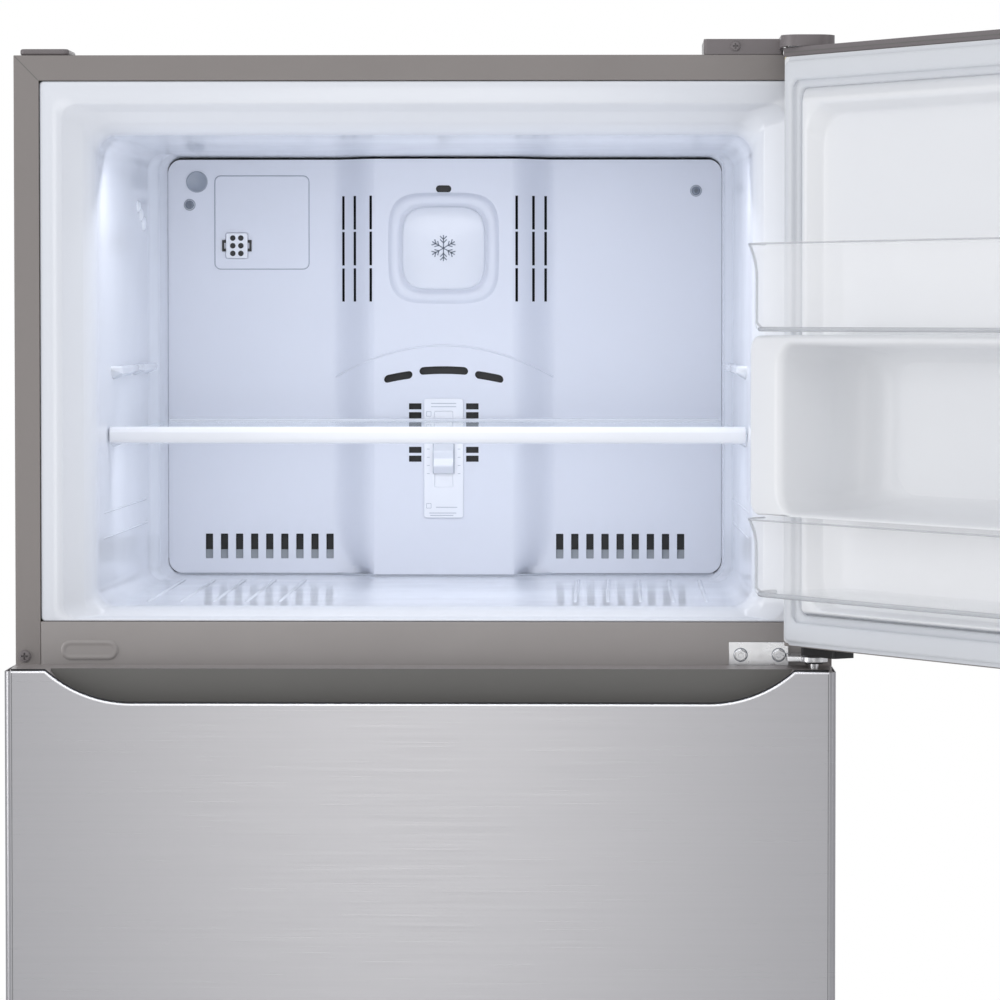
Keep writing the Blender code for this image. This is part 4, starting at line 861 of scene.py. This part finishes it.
def badge(raised):
    """Square badge with soft corners: a raised ring round a bowed plate, with a snowflake."""
    z = 1.4900
    profile = (
        (0.0580, 0.0002), (0.0568, -0.0006), (0.0555, -0.0022), (0.0540, -0.0034),
        (0.0518, -0.0040), (0.0490, -0.0039),
        (0.0470, -0.0032), (0.0455, -0.0018), (0.0448, -0.0008), (0.0440, -0.0006),
    )
    rings = [lift(squircle(half, 0, z, 4.2), "y", raised + y) for half, y in profile]
    rings.append(lift(squircle(0.0430, 0, z, 4.2), "y", raised + 0.0003))
    rings.append(lift(squircle(0.0570, 0, z, 4.2), "y", raised + 0.0004))
    dress(smooth(loft("badge_ring", rings, closed=True), 60), panel_plastic, "cabinet")
    plate = (
        (0.0428, 0.0), (0.0427, -0.0022), (0.0420, -0.0030), (0.0405, -0.0034), (0.0330, -0.0040),
        (0.0200, -0.0044), (0.0060, -0.0046)
    )
    rings = [lift(squircle(half, 0, z, 4.2), "y", raised + y) for half, y in plate]
    dress(smooth(loft("badge_plate", rings), 60), badge_plastic, "cabinet")
    arms = []
    for turn in range(6):
        spin = Matrix.Translation((0, 0, z)) @ Matrix.Rotation(math.radians(60 * turn + 30), 4, "Y")
        strokes = [((0, 0), (0.0135, 0))]
        strokes += [
            ((reach, 0), (reach + 0.0034, side * 0.0034)) for reach in (0.0055, 0.0090)
            for side in (-1, 1)
        ]
        for (x0, z0), (x1, z1) in strokes:
            along = Vector((x1 - x0, 0, z1 - z0))
            across = Vector((-along.z, 0, along.x)).normalized() * 0.0006
            corners = [Vector((x0, 0, z0)) - across, Vector((x1, 0, z1)) - across]
            corners += [Vector((x1, 0, z1)) + across, Vector((x0, 0, z0)) + across]
            front, rear = raised - 0.00475, raised - 0.0038
            arms.append(
                loft("stroke", [[spin @ (c + Vector((0, y, 0))) for c in corners] for y in (front, rear)])
            )
    dress(merged("badge_snowflake", arms), print_and_shade_grey, "cabinet")


def control_plate():
    """Air control: a smooth plate with a slider in a slot, its scale marks, and no lettering."""
    x0, x1, front, back, low, top = span("air_control_plate")
    half = x1 - 0.0015
    plate = block("control_plate", -half, half, front, back + 0.0004, low, top, 0.003, "y")
    slot = block("tool", -0.0095, 0.0095, front - 0.01, front + 0.0012, 1.2420, 1.3210, 0.0015, "y")
    combine(plate, slot, "DIFFERENCE")
    dress(soften(plate, 0.0004, 2), trim_white, "cabinet", "air_control_plate")
    marks = []
    ink, tall = front - 0.00008, 0.0003
    for z, x, wide in (
        (1.3290, 0.0, 0.0130), (1.3255, 0.0, 0.0130), (1.2210, 0.0030, 0.0110),
        (1.2150, -0.0010, 0.0140), (1.2125, -0.0020, 0.0120),
    ):
        marks.append(block("mark", x - wide, x + wide, ink, front + 0.0003, z - tall, z + tall))
    x = -0.0155
    for z in (1.3180, 1.2225):
        outer, inner = [
            rounded(x - half, x + half, z - half, z + half, corner, 2)
            for half, corner in ((0.0026, 0.0004), (0.0022, 0.0003))
        ]
        marks.append(band("mark", outer, inner, ink, front + 0.0002))
    for x in (-0.0160, 0.0160):
        for step in range(7):
            z = 1.2560 + step * 0.0085
            marks.append(
                block("mark", x - 0.0014, x + 0.0014, ink, front + 0.0003, z - 0.00025, z + 0.00025)
            )
    dress(merged("control_marks", marks), seam_shade_and_print_grey, "cabinet")
    slider = span("air_slider")
    y0, y1, z0, z1 = slider[2], front - 0.0003, slider[4], slider[5]
    outline = [
        (y1, z0), (y1 - 0.0042, z0 + 0.0008), (y0, z0 + 0.0075), (y0, z0 + 0.0090),
        (y0 + 0.0022, z0 + 0.0160)
    ]
    outline += [(y0, z0 + 0.0230), (y0 + 0.0010, z0 + 0.0250), (y1 - 0.0042, z1 - 0.0010), (y1, z1)]
    knob = soften(prism("slider_knob", outline, "x", slider[0], slider[1]), 0.0008, 3, 20)
    dress(knob, trim_white, "air_control", "air_slider")
    # painted shade: dark lines beside the slider stand for the shade in the gaps of its slot
    x = slider[1] + 0.0004
    sides = [
        block("line", side * x - 0.0003, side * x + 0.0003, front - 0.0002, front + 0.0008, z0, z1)
        for side in (-1, 1)
    ]
    dress(merged("slider_gap_shade", sides), seam_shade_and_print_grey, "air_control")


def wiring_hatch(face):
    """Flush hatch with its seam, and the socket for an ice maker's plug."""
    x0, x1, front, back, low, top = span("wiring_cover")
    # painted shade: a dark grey ring round the hatch stands for the shade in its seam
    groove = 0.0009
    outer = rounded(x0 - groove, x1 + groove, low - groove, top + groove, 0.0068)
    inner = rounded(x0 - 0.0001, x1 + 0.0001, low - 0.0001, top + 0.0001, 0.0060)
    dress(band("hatch_seam_shade", outer, inner, face - 0.0002, face + 0.0002), seam_shade_and_print_grey, "cabinet")
    plate = block("wiring_hatch", x0, x1, face - 0.0010, face - 0.0001, low, top, 0.006, "y")
    cx, cz = -0.2170, 1.4930  # middle of the socket
    combine(
        plate,
        block(
            "tool", cx - 0.0118, cx + 0.0118, face - 0.01, face + 0.01, cz - 0.0135, cz + 0.0135,
            0.002, "y"
        ),
        "DIFFERENCE"
    )
    dress(soften(plate, 0.0005, 2), panel_plastic, "cabinet", "wiring_cover")
    shell = block(
        "socket_shell", cx - 0.0112, cx + 0.0112, face - 0.0030, face - 0.0001, cz - 0.0130,
        cz + 0.0130, 0.0025, "y"
    )
    holes = [
        turned("tool", [(0.0029, face - 0.01), (0.0029, face - 0.0006)], (cx + u, 0, cz + v), "y", 24)
        for u in (-0.0042, 0.0042) for v in (-0.0080, 0, 0.0080)
    ]
    combine(shell, merged("tool", holes), "DIFFERENCE")
    dress(soften(shell, 0.0003, 2), trim_white, "cabinet")
    dress(
        block(
            "socket_floor", cx - 0.0095, cx + 0.0095, face - 0.0012, face - 0.0003, cz - 0.0120,
            cz + 0.0120
        ),
        black_plastic, "cabinet"
    )
    clips = []
    half, foot, reach = 0.0060, 0.0114, 0.0040
    clip_low, clip_high = cz - half, cz + half
    for side in (-1, 1):
        ends = sorted((cx + side * foot, cx + side * (foot + reach)))
        hole = sorted((cx + side * 0.0100, cx + side * (foot + reach * 0.45)))
        clip = block("clip", *ends, face - 0.0024, face - 0.0004, clip_low, clip_high)
        tool = block("tool", *hole, face - 0.01, face + 0.01, clip_low + 0.0030, clip_high - 0.0030)
        clips.append(combine(clip, tool, "DIFFERENCE"))
    dress(soften(merged("socket_clips", clips), 0.0002, 2), black_plastic, "cabinet")


def panel_fasteners(face):
    cup = [
        (0.0112, face + 0.0002), (0.0112, face - 0.0010), (0.0100, face - 0.0013),
        (0.0092, face - 0.0007), (0.0010, face - 0.0005)
    ]
    finish = moulded("boss_grey", (0.36, 0.395, 0.46), 0.35)
    dress(smooth(turned("thermostat_boss", cup, (-0.2587, 0, 1.5596), "y", 40), 50), finish, "cabinet")
    for name, x, z in (("left", -0.2664, 1.5357), ("right", 0.2622, 1.5502)):
        ring = [
            (0.0062, face + 0.0001), (0.0062, face - 0.0004), (0.0050, face - 0.0004),
            (0.0049, face + 0.0001)
        ]
        dress(smooth(turned(f"panel_screw_cup_{name}", ring, (x, 0, z), "y", 32)), finish, "cabinet")
        screw(f"panel_screw_{name}", x, z, face - 0.0002, 0.0045, finish=print_and_shade_grey)


def freezer_shelf():
    """Glass shelf with a rounded bar along its front and a thin lip along its rear."""
    refine("freezer_shelf_glass", glass, 0.0006, segments=3)
    x0, half, front, back, low, top = span("freezer_shelf_trim")
    outline = [
        (back, low + 0.003), (back - 0.0015, low), (front + 0.004, low), (front + 0.0012, low + 0.0012),
        (front, low + 0.0045), (front, top - 0.0050), (front + 0.0015, top - 0.0018), (front + 0.0050, top),
        (back - 0.0008, top), (back, top - 0.001),
    ]
    bar = soften(prism("shelf_bar", outline, "x", -half, half), 0.0010, 3, 22)
    dress(bar, trim_white, "freezer_shelf", "freezer_shelf_trim")
    rear, top = span("freezer_shelf_glass")[3], span("freezer_shelf_glass")[5]
    outline = [(rear - 0.006, top), (rear, top), (rear + 0.0012, top + 0.0008), (rear, top + 0.0022)]
    outline += [(rear - 0.005, top + 0.0016)]
    reach = span("evaporator_cover")[1] - 0.004
    lip = soften(prism("shelf_rear_lip", outline, "x", -reach, reach), 0.0004, 2)
    dress(lip, trim_white, "freezer_shelf")


# ---------------------------------------------------------------- doors
FRAME_HALF = 0.2955  # outer side of the raised frame on a door's pan


def door_pan(name, node, bar, frame_levels, down, up, body):
    """Inner pan of a door: flat edge, low ridge and a raised frame round its pockets. down and up
    say how much further than the CAD pan it reaches, to meet the door's plain cap."""
    x, rear, crest, low, high = [span(node)[i] for i in (1, 2, 3, 4, 5)]
    low, high = low - down, high + up
    face = rear + 0.0015
    steps = (
        (0.0000, 0.0000, 0.0000, 0.004, -0.0012), (0.0002, 0.0002, 0.0002, 0.004, -0.0003),
        (0.0008, 0.0008, 0.0008, 0.005, 0.0),
        (0.0310, 0.0282, 0.0292, 0.004, 0.0), (0.0322, 0.0290, 0.0303, 0.004, 0.0010),
        (0.0335, 0.0294, 0.0316, 0.004, 0.0026),
        (0.0440, 0.0311, 0.0386, 0.004, 0.0118), (0.0455, 0.0315, 0.0398, 0.004, 0.0132),
        (0.0475, 0.0321, 0.0412, 0.005, 0.0140),
        (0.0505, 0.0331, 0.0437, 0.020, 0.0140), (0.0525, 0.0339, 0.0455, 0.024, 0.0133),
        (0.0540, 0.0344, 0.0470, 0.026, 0.0118),
        (0.0590, 0.0358, 0.0525, 0.030, 0.0026), (0.0604, 0.0363, 0.0540, 0.031, 0.0008),
        (0.0620, 0.0370, 0.0556, 0.032, 0.0),
    )
    rings = [lift(rounded(-x, x, low, high, 0.004), "y", rear)]
    for inset, bottom, top, r, y in steps:
        rings.append(lift(rounded(-x + inset, x - inset, low + bottom, high - top, r), "y", face + y))
    pan = smooth(loft(name, rings), 60)
    dress(pan, door_plastic, body, node)
    # shadow line at the outer foot of the ridge
    outer, inner = [
        rounded(-x + inset, x - inset, low + inset - 0.0028, high - inset + 0.0018, 0.004)
        for inset in (0.0310, 0.0320)
    ]
    dress(band(f"{name}_ridge_line", outer, inner, face + 0.0004, face - 0.0004), seam_shade_and_print_grey, body)

    frame_low, frame_high, pocket_low, pocket_high = frame_levels
    outer, inner, top = FRAME_HALF, FRAME_HALF - bar, crest
    rings = []
    fillet = min(0.045, crest - face - 0.014)
    for turn in range(9):
        bend = math.radians(90 * turn / 8)
        up, shift = fillet * (1 - math.cos(bend)), fillet * (1 - math.sin(bend))
        low, high = pocket_low + shift * 0.35, pocket_high - shift * 0.35
        rings.append((inner - shift, low, high, 0.016 + shift * 0.3, face - 0.0006 + up))
    for turn in range(7):
        bend = math.radians(15 * turn)
        drop, shift = 0.009 * (1 - math.sin(bend)), 0.009 * (1 - math.cos(bend))
        low, high = pocket_low - 0.001 - shift * 0.4, pocket_high + 0.001 + shift * 0.5
        rings.append((inner + 0.002 + shift, low, high, 0.018 + shift, top - drop))
    for turn in range(7):
        bend = math.radians(15 * turn)
        drop, shift = 0.006 * (1 - math.cos(bend)), 0.006 * (1 - math.sin(bend))
        low, high = frame_low + 0.0005 + shift * 0.3, frame_high - 0.0008 - shift * 0.5
        rings.append((outer - 0.001 - shift, low, high, 0.012, top - drop))
    rings.append((outer, frame_low, frame_high, 0.012, face - 0.0006))
    rings = [lift(rounded(-half, half, z0, z1, r), "y", y) for half, z0, z1, r, y in rings]
    dress(smooth(loft(f"{name}_frame", rings, closed=True), 50), door_plastic, body)


def seal(name, node, body):
    """Door seal: lip, bellows fold and magnet bead, with rounded corners."""
    x0, outer, y0, y1, low, high = span(node)
    inner = HALF_WIDTH - 0.0335
    width, tall = outer - inner, 0.0285
    profile = (
        (0.00, 0.00), (0.00, 0.40), (0.05, 0.46), (0.13, 0.50), (0.15, 0.62), (0.13, 0.78),
        (0.16, 0.92), (0.24, 1.00),
        (0.66, 1.00), (0.74, 0.93), (0.77, 0.80), (0.75, 0.60), (0.79, 0.50), (0.90, 0.44),
        (0.97, 0.36), (1.00, 0.22), (1.00, 0.00),
    )
    rings = []
    for across, up in profile:
        y = y0 + (y1 - y0) * up
        side, end = across * width, across * tall
        rings.append(
            lift(rounded(-outer + side, outer - side, low + end, high - end, 0.004 + side * 0.3), "y", y)
        )
    dress(smooth(loft(name, rings, closed=True), 45), gasket_rubber, body, node)


BIN_CORNER = 0.036
BIN_FLARE = 0.008  # how far a bin's rim stands in front of its wall
BIN_UPRIGHT = 0.62  # the share of the height below which the wall is upright


def clear_box(name, node, body):
    """Clear bin: rounded front corners, a rolled bottom edge, a flared rim and a thicker lip."""
    x0, half, back, front, low, high = span(node)
    wall = 0.0022
    height = high - low

    def ring(shrink, reach, z):
        front_radius = max(BIN_CORNER - shrink, 0.004)
        radii = (0.004, 0.004, front_radius, front_radius)
        return lift(
            rounded(-half + shrink, half - shrink, back + shrink, reach - shrink, radii, 12), "z", z
        )

    def reach(share):
        """How far forward the front stands at a height, as a share of the whole."""
        bend = max((share - BIN_UPRIGHT) / 0.38, 0)
        return front - BIN_FLARE * (1 - bend * bend)

    shares = [0.12, 0.3, 0.5, 0.62, 0.70, 0.78, 0.86, 0.93]
    foot = reach(0)
    rings = [ring(0.010, foot, low + wall), ring(wall + 0.003, foot, low + wall + 0.0008)]
    rings += [ring(wall, foot, low + wall + 0.005)]
    rings += [ring(wall, reach(share), low + height * share) for share in shares]
    rings += [
        ring(wall, front, high - 0.0008), ring(wall - 0.0005, front, high),
        ring(0.0005, front, high), ring(0, front, high - 0.0008)
    ]
    rings += [ring(0, reach(share), low + height * share) for share in reversed(shares)]
    for shrink, up in ((0, 0.007), (0.0010, 0.0030), (0.0032, 0.0008), (0.0065, 0)):
        rings.append(ring(shrink, foot, low + up))
    return dress(smooth(loft(name, rings), 40), clear_bin, body, node)


def bin_lines(name, node, body):
    """The moulded bead under a bin's rim and along its foot, where the plastic is thickest."""
    x0, half, back, front, low, high = span(node)
    for label, z, reach, radius, inset in (
        ("rim", high - 0.0010, front, 0.0008, 0.0012),
        ("foot", low + 0.0020, front - BIN_FLARE, 0.0021, 0.0035),
    ):
        radii = (0.004, 0.004, 0.035, 0.035)
        outline = rounded(-half + inset, half - inset, back + 0.003, reach - inset, radii, 12)
        keep = [(*point, z) for point in outline if point[1] > back + 0.010]
        dress(smooth(tube(f"{name}_{label}", sorted_round(keep), radius, 3), 60), clear_rim, body)
    # the thick corner of the hinge side, from the foot to the flared rim
    path = []
    turn = math.radians(48)
    along, out = BIN_CORNER * (math.sin(turn) - 1), BIN_CORNER * (math.cos(turn) - 1)
    for step in range(13):
        share = step / 12
        foot = 0.0040 * max(1 - share / 0.07, 0)
        bend = max((share - BIN_UPRIGHT) / 0.38, 0)
        reach = front - BIN_FLARE * (1 - bend ** 2) - 0.0012 - foot
        across = half - 0.0012 - foot
        path.append((across + out, reach + along, low + 0.0015 + (high - low - 0.003) * share))
    dress(smooth(tube(f"{name}_corner", path, 0.0011, 3), 60), clear_rim, body)


def unshadowed(piece):
    """Thin clear walls let nearly all light through, so they throw no shadow of their own."""
    piece.visible_shadow = False
    piece.visible_diffuse = False
    return piece


def sorted_round(path):
    """The open run of a closed outline that starts on its right side and ends on its left."""
    right = [place for place in path if place[0] >= 0]
    left = [place for place in path if place[0] < 0]
    return sorted(right, key=lambda p: (p[1], -p[0])) + sorted(left, key=lambda p: (-p[1], -p[0]))


def edge_curve(edge, inward, half_flat, half_width, depth, end, steps=14):
    """The visible edge of a door's sheet: level, down an arc to the pocket's flat, and up again."""
    run = half_width - half_flat
    radius = (run * run + depth * depth) / (2 * depth)
    arc = []
    for step in range(steps + 1):
        across = run * step / steps
        dip = depth - (radius - math.sqrt(radius * radius - across * across))
        arc.append((half_flat + across, edge + inward * dip))
    right = arc + [(end, edge)]
    return [(-x, z) for x, z in reversed(right)] + right


HANDLE_FLAT, HANDLE_WIDE, HANDLE_DIP = 0.262, 0.3405, 0.0296


def door_outside(name, plain, handle_edge, inward):
    """Brushed sheet with its rolled edge, the handle's pocket and the plain cap."""
    skin, cap, body = f"{name}_skin", f"{name}_handle_cap", name
    refine(skin, steel, 0.0003, 40, 2)
    refine(plain, taupe_plastic, 0.0015, 40, 3)
    refine(cap, cap_plastic, 0.0008, 40, 2)
    front = span(skin)[2]
    line = edge_curve(handle_edge, inward, HANDLE_FLAT, HANDLE_WIDE, HANDLE_DIP, HALF_WIDTH - 0.0065)
    # painted highlight: the rolled edge takes the far lighter copy of the steel, where it turns up to the
    # light
    roll = [(x, front + 0.0008, z + inward * 0.0010) for x, z in line]
    dress(smooth(tube(f"{name}_rolled_edge", roll, 0.0013, 4), 60), steel_painted_highlight, body)
    # painted shade: a black rod in the gap just beyond the sheet's rolled edge
    dark = [(x, front + 0.0016, z - inward * 0.0009) for x, z in line]
    dress(smooth(tube(f"{name}_edge_shade_line", dark, 0.0011, 3), 60), black_plastic, body)
    low, high = span(skin)[4], span(skin)[5]
    # painted shade: a thin dark line along each folded side of the sheet
    for side, label in SIDES:
        x = side * (HALF_WIDTH - 0.0070)
        fold = block(
            f"{name}_fold_{label}", x - 0.00035, x + 0.00035, front - 0.00006, front + 0.0003, low,
            high
        )
        dress(fold, painted_fold_shade, body)
    # a darker sheet on the back wall of the finger pocket
    deep = edge_curve(
        handle_edge, inward, HANDLE_FLAT, HANDLE_WIDE - 0.001, HANDLE_DIP + 0.0140, HANDLE_WIDE
    )
    level = handle_edge - inward * 0.0002
    outline = [(x, z) for x, z in deep if abs(x) < HANDLE_WIDE - 0.0015]
    outline = [(-HANDLE_WIDE + 0.0015, level)] + outline + [(HANDLE_WIDE - 0.0015, level)]
    back = front + 0.0013 + 0.0290
    lining = prism(f"{name}_pocket_dark_sheet", outline, "y", back - 0.0008, back - 0.0001)
    dress(lining, dark_taupe_joint_and_shade, body)


def door(body, bins, plain, handle_edge, inward, bar, frame_levels, down, up):
    """What both doors share: pan, seal, brushed sheet with its caps, and clear bins."""
    door_pan(f"{body}_pan", f"{body}_liner", bar, frame_levels, down, up, body)
    seal(f"{body}_seal", f"{body}_gasket", body)
    door_outside(body, plain, handle_edge, inward)
    for place in ("upper", "lower"):
        node = f"{body}_bin_{place}"
        unshadowed(clear_box(f"{bins}_{place}", node, body))
        bin_lines(f"{bins}_{place}", node, body)


def freezer_door():
    edge = span("freezer_door_handle_cap")[4] + 0.001
    levels = (1.2435, 1.4035, 1.2490, 1.3930)
    door("freezer_door", "freezer_bin", "freezer_door_top_cap", edge, 1, 0.050, levels, 0.0, 0.0017)
    refine("freezer_door_stop", black_plastic, 0.0008, segments=3)
    refine("freezer_door_insulation", foam, 0.0)
    # painted shade: a thin dark strip along the top cap stands for the shade in its groove
    half, cap = HALF_WIDTH - 0.001, span("freezer_door_top_cap")
    depth, height = (cap[3] - 0.0004, cap[3] + 0.0002), (cap[5] - 0.0048, cap[5] - 0.0040)
    dress(block("top_cap_groove_shade", -half, half, *depth, *height), dark_taupe_joint_and_shade, "freezer_door")


def fridge_door():
    edge = span("fridge_door_handle_cap")[5] - 0.0009
    levels = (0.150, 1.030, 0.172, 1.014)
    door("fridge_door", "fridge_bin", "fridge_door_bottom_cap", edge, -1, 0.036, levels, 0.0017, 0.0)
    half, floor = 0.2655, span("dairy_cover")[4] - 0.0120
    front = span("fridge_door_liner")[2] + 0.0015
    dairy = block("dairy_shelf", -half, half, front, front + 0.064, floor - 0.006, floor, 0.006, "z")
    dress(soften(dairy, 0.0015, 3), door_plastic, "fridge_door")
    refine("dairy_cover", clear_drawer, 0.0006, segments=2)
    refine("fridge_door_insulation", foam, 0.0)


# ---------------------------------------------------------------- fridge compartment
def fridge_compartment():
    refine("fridge_liner", liner_plastic, 0.0020, 20, 3)
    for name in ("fridge_shelf_lower", "fridge_shelf_upper", "crisper_cover"):
        x0, x1, y0, y1, low, high = span(name)
        rim = block(f"{name}_frame", x0, x1, y0, y1, low, high)
        opening = block(
            "tool", x0 + 0.018, x1 - 0.018, y0 + 0.018, y1 - 0.014, low - 0.01, high + 0.01, 0.006
        )
        combine(rim, opening, "DIFFERENCE")
        dress(soften(rim, 0.0015, 3), shelf_frame, "cabinet", name)
        pane = block(
            f"{name}_pane", x0 + 0.0175, x1 - 0.0175, y0 + 0.0175, y1 - 0.0135, low + 0.0045,
            low + 0.0085, 0.005
        )
        dress(soften(pane, 0.0005, 2), glass, "cabinet")
    for side in ("left", "right"):
        refine(f"crisper_drawer_{side}", clear_drawer, 0.0012, 25, 3)
    refine("duct_tower", liner_plastic, 0.0015, segments=3)
    refine("control_housing", liner_plastic, 0.0025, segments=4)
    refine("lamp_cover", lamp_lens, 0.0030, segments=4)
    refine("control_dial", trim_white, 0.0008, 25, 3)
    face = span("control_housing")[2]
    marks = []
    for step in range(7):
        angle = math.radians(-60 + 20 * step)
        x, z = 0.0190 * math.sin(angle), 1.0270 + 0.0190 * math.cos(angle)
        marks.append(
            block("mark", x - 0.0004, x + 0.0004, face - 0.0001, face + 0.0002, z - 0.0012, z + 0.0012)
        )
    dress(merged("dial_marks", marks), print_and_shade_grey, "cabinet")


# ---------------------------------------------------------------- back and base
def back_and_base():
    for node, finish, width in (
        ("back_panel", galvanised, 0.0004), ("base_tray", galvanised, 0.0004),
        ("machine_room_wall", galvanised, 0.0003),
        ("machine_room_cover", black_plastic, 0.0004), ("toe_grille", taupe_plastic, 0.0006),
        ("bottom_hinge", zinc, 0.0005),
        ("drain_pan", black_plastic, 0.0008), ("levelling_foot_left", black_plastic, 0.0006),
        ("levelling_foot_right", black_plastic, 0.0006), ("roller_left", black_plastic, 0.0006),
        ("roller_right", black_plastic, 0.0006), ("condenser_fan", black_plastic, 0.0003),
        ("evaporator_fan", trim_white, 0.0003),
        ("compressor", pot_black, 0.0020), ("evaporator", fins, 0.0), ("condenser_coil", pipe_black, 0.0),
        ("cabinet_insulation", foam, 0.0),
    ):
        refine(node, finish, width, segments=3)
    rear = CABINET_DEPTH
    screws = []
    low, high = span("machine_room_cover")[4], span("machine_room_cover")[5]
    panel = span("back_panel")
    heights = (low + 0.02, high - 0.012, panel[4] + 0.02, 0.75, 1.20, panel[5] - 0.02)
    spots = [(side * (HALF_WIDTH - 0.012), z) for side in (-1, 1) for z in heights]
    spots += [(x, high - 0.012) for x in (-0.12, 0.12)]
    for x, z in spots:
        profile = [
            (0.0045, rear), (0.0045, rear + 0.0006), (0.0036, rear + 0.0018),
            (0.0010, rear + 0.0019)
        ]
        screws.append(turned("screw", profile, (x, 0, z), "y", 16))
    dress(smooth(merged("back_screws", screws)), zinc_bolt, "cabinet")
    pot = span("compressor")
    x, y, top = (pot[0] + pot[1]) / 2, (pot[2] + pot[3]) / 2, pot[5]
    runs = []
    for index, (shift, height) in enumerate(((-0.035, 0.030), (0.030, 0.045))):
        path = []
        for step in range(13):
            angle = math.radians(180 * step / 12)
            across = x + shift - 0.045 + 0.045 * math.cos(angle)
            path.append((across, y + 0.035, top - 0.045 + height * math.sin(angle)))
        path += [(x + shift - 0.090, y + 0.035, top - 0.090 - 0.03 * index)]
        runs.append(tube("pipe", path, 0.0032, 4))
    dress(smooth(merged("compressor_pipes", runs), 60), copper, "cabinet")
    terminal = block(
        "compressor_terminal", x - 0.022, x + 0.022, pot[3] - 0.004, pot[3] + 0.024, top - 0.105,
        top - 0.055, 0.004, "x"
    )
    dress(soften(terminal, 0.0015, 3), black_plastic, "cabinet")


# ---------------------------------------------------------------- stage
CAMERA_SIDE, CAMERA_BACK, CAMERA_UP = 0.1727, 4.000, 1.4207
FOCAL = 4.337  # in widths of the picture
AXIS_SIDE, AXIS_UP = 0.110, 0.185  # where the level line of sight meets the picture, from its middle
SHIFT_SIDE, SHIFT_UP = -0.040, -0.045


def stage():
    data = bpy.data.cameras.new("camera")
    data.sensor_width = 36
    data.lens = 36 * FOCAL
    data.shift_x = SHIFT_SIDE
    data.shift_y = SHIFT_UP
    data.clip_end = 60
    camera = linked("camera", data)
    camera.location = CABINET @ Vector((CAMERA_SIDE, -CAMERA_BACK, CAMERA_UP))
    turn = math.atan((AXIS_SIDE + SHIFT_SIDE) / FOCAL)
    pitch = math.atan((AXIS_UP + SHIFT_UP) / FOCAL)
    camera.rotation_euler = (math.radians(90) - pitch, 0, turn)
    bpy.context.scene.camera = camera

    floor = turned("floor", [(4.2, -0.02), (4.2, -0.0003)], (0, 0, 0), "z", 96)
    floor_finish = Finish("studio_floor", (0.94, 0.94, 0.94), 0.6)
    floor_finish.vary_roughness(floor_finish.noise(2, detail=3), 0.1)
    floor.data.materials.append(floor_finish.bump(floor_finish.noise(60, detail=3), 0.0002, 0.2).material)
    floor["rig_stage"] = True

    world = bpy.data.worlds.new("studio")
    bpy.context.scene.world = world
    world.use_nodes = True
    nodes, links = world.node_tree.nodes, world.node_tree.links
    soft = nodes["Background"]
    soft.inputs["Color"].default_value = (0.96, 0.97, 1.0, 1)
    soft.inputs["Strength"].default_value = 0.64
    backdrop = nodes.new("ShaderNodeBackground")
    backdrop.inputs["Color"].default_value = (1, 1, 1, 1)
    backdrop.inputs["Strength"].default_value = 1.0
    path = nodes.new("ShaderNodeLightPath")
    mix = nodes.new("ShaderNodeMixShader")
    links.new(path.outputs["Is Camera Ray"], mix.inputs["Fac"])
    links.new(soft.outputs["Background"], mix.inputs[1])
    links.new(backdrop.outputs["Background"], mix.inputs[2])
    links.new(mix.outputs["Shader"], nodes["World Output"].inputs["Surface"])
    bpy.context.scene.view_settings.view_transform = "Standard"

    for name, place, aim, wide, tall, power, colour in (
        ("front_softbox", (-0.25, -5.2, 1.2), (0, 0, 1.0), 0.7, 3.6, 19, (1.0, 0.99, 0.97)),
        ("upper_softbox", (0.2, -3.6, 3.8), (0, 0.2, 1.2), 3.4, 1.8, 22, (1.0, 1.0, 1.0)),
        ("left_softbox", (-3.4, -1.3, 1.7), (0.5, -0.2, 1.3), 1.6, 2.4, 34, (1.0, 1.0, 1.0)),
        ("right_softbox", (3.8, -1.8, 2.2), (0.3, 0, 1.2), 1.6, 2.4, 16, (1.0, 1.0, 1.0)),
        ("rear_softbox", (0.0, 4.6, 2.8), (0, 0.6, 0.9), 2.6, 2.0, 22, (1.0, 1.0, 1.0)),
        ("freezer_glow", (0.0, 0.050, 1.550), (0, 0.36, 1.20), 0.56, 0.06, 0.58, (0.92, 0.94, 1.0)),
        ("freezer_low_glow", (0.0, 0.130, 1.290), (0, 0.36, 1.15), 0.54, 0.06, 0.26, (0.92, 0.94, 1.0)),
        ("freezer_fill", (0.0, -0.030, 1.370), (0, 0.5, 1.34), 0.56, 0.40, 0.12, (0.94, 0.96, 1.0)),
    ):
        light = bpy.data.lights.new(name, "AREA")
        light.shape = "RECTANGLE"
        light.size = wide
        light.size_y = tall
        light.energy = power
        light.color = colour
        lamp = linked(name, light)
        lamp.location = CABINET @ Vector(place)
        lamp.rotation_euler = (Vector(aim) - Vector(place)).to_track_quat("-Z", "Y").to_euler()


# ---------------------------------------------------------------- making
stage()
cabinet_front()
top_hinge_parts()
middle_hinge_parts()
rim_half, rim_low = freezer_lining()
wall_details(rim_half, rim_low)
panel_face, panel_raised, panel_low = rear_panel()
embossed_arch(panel_raised, panel_face, panel_low)
badge(panel_raised)
control_plate()
wiring_hatch(panel_face)
panel_fasteners(panel_face)
freezer_shelf()
freezer_door()
fridge_door()
fridge_compartment()
back_and_base()

limits = {"cad": cad_bounds, "visual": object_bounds()}
{key: [list(corner) for corner in pair] for key, pair in limits.items()}
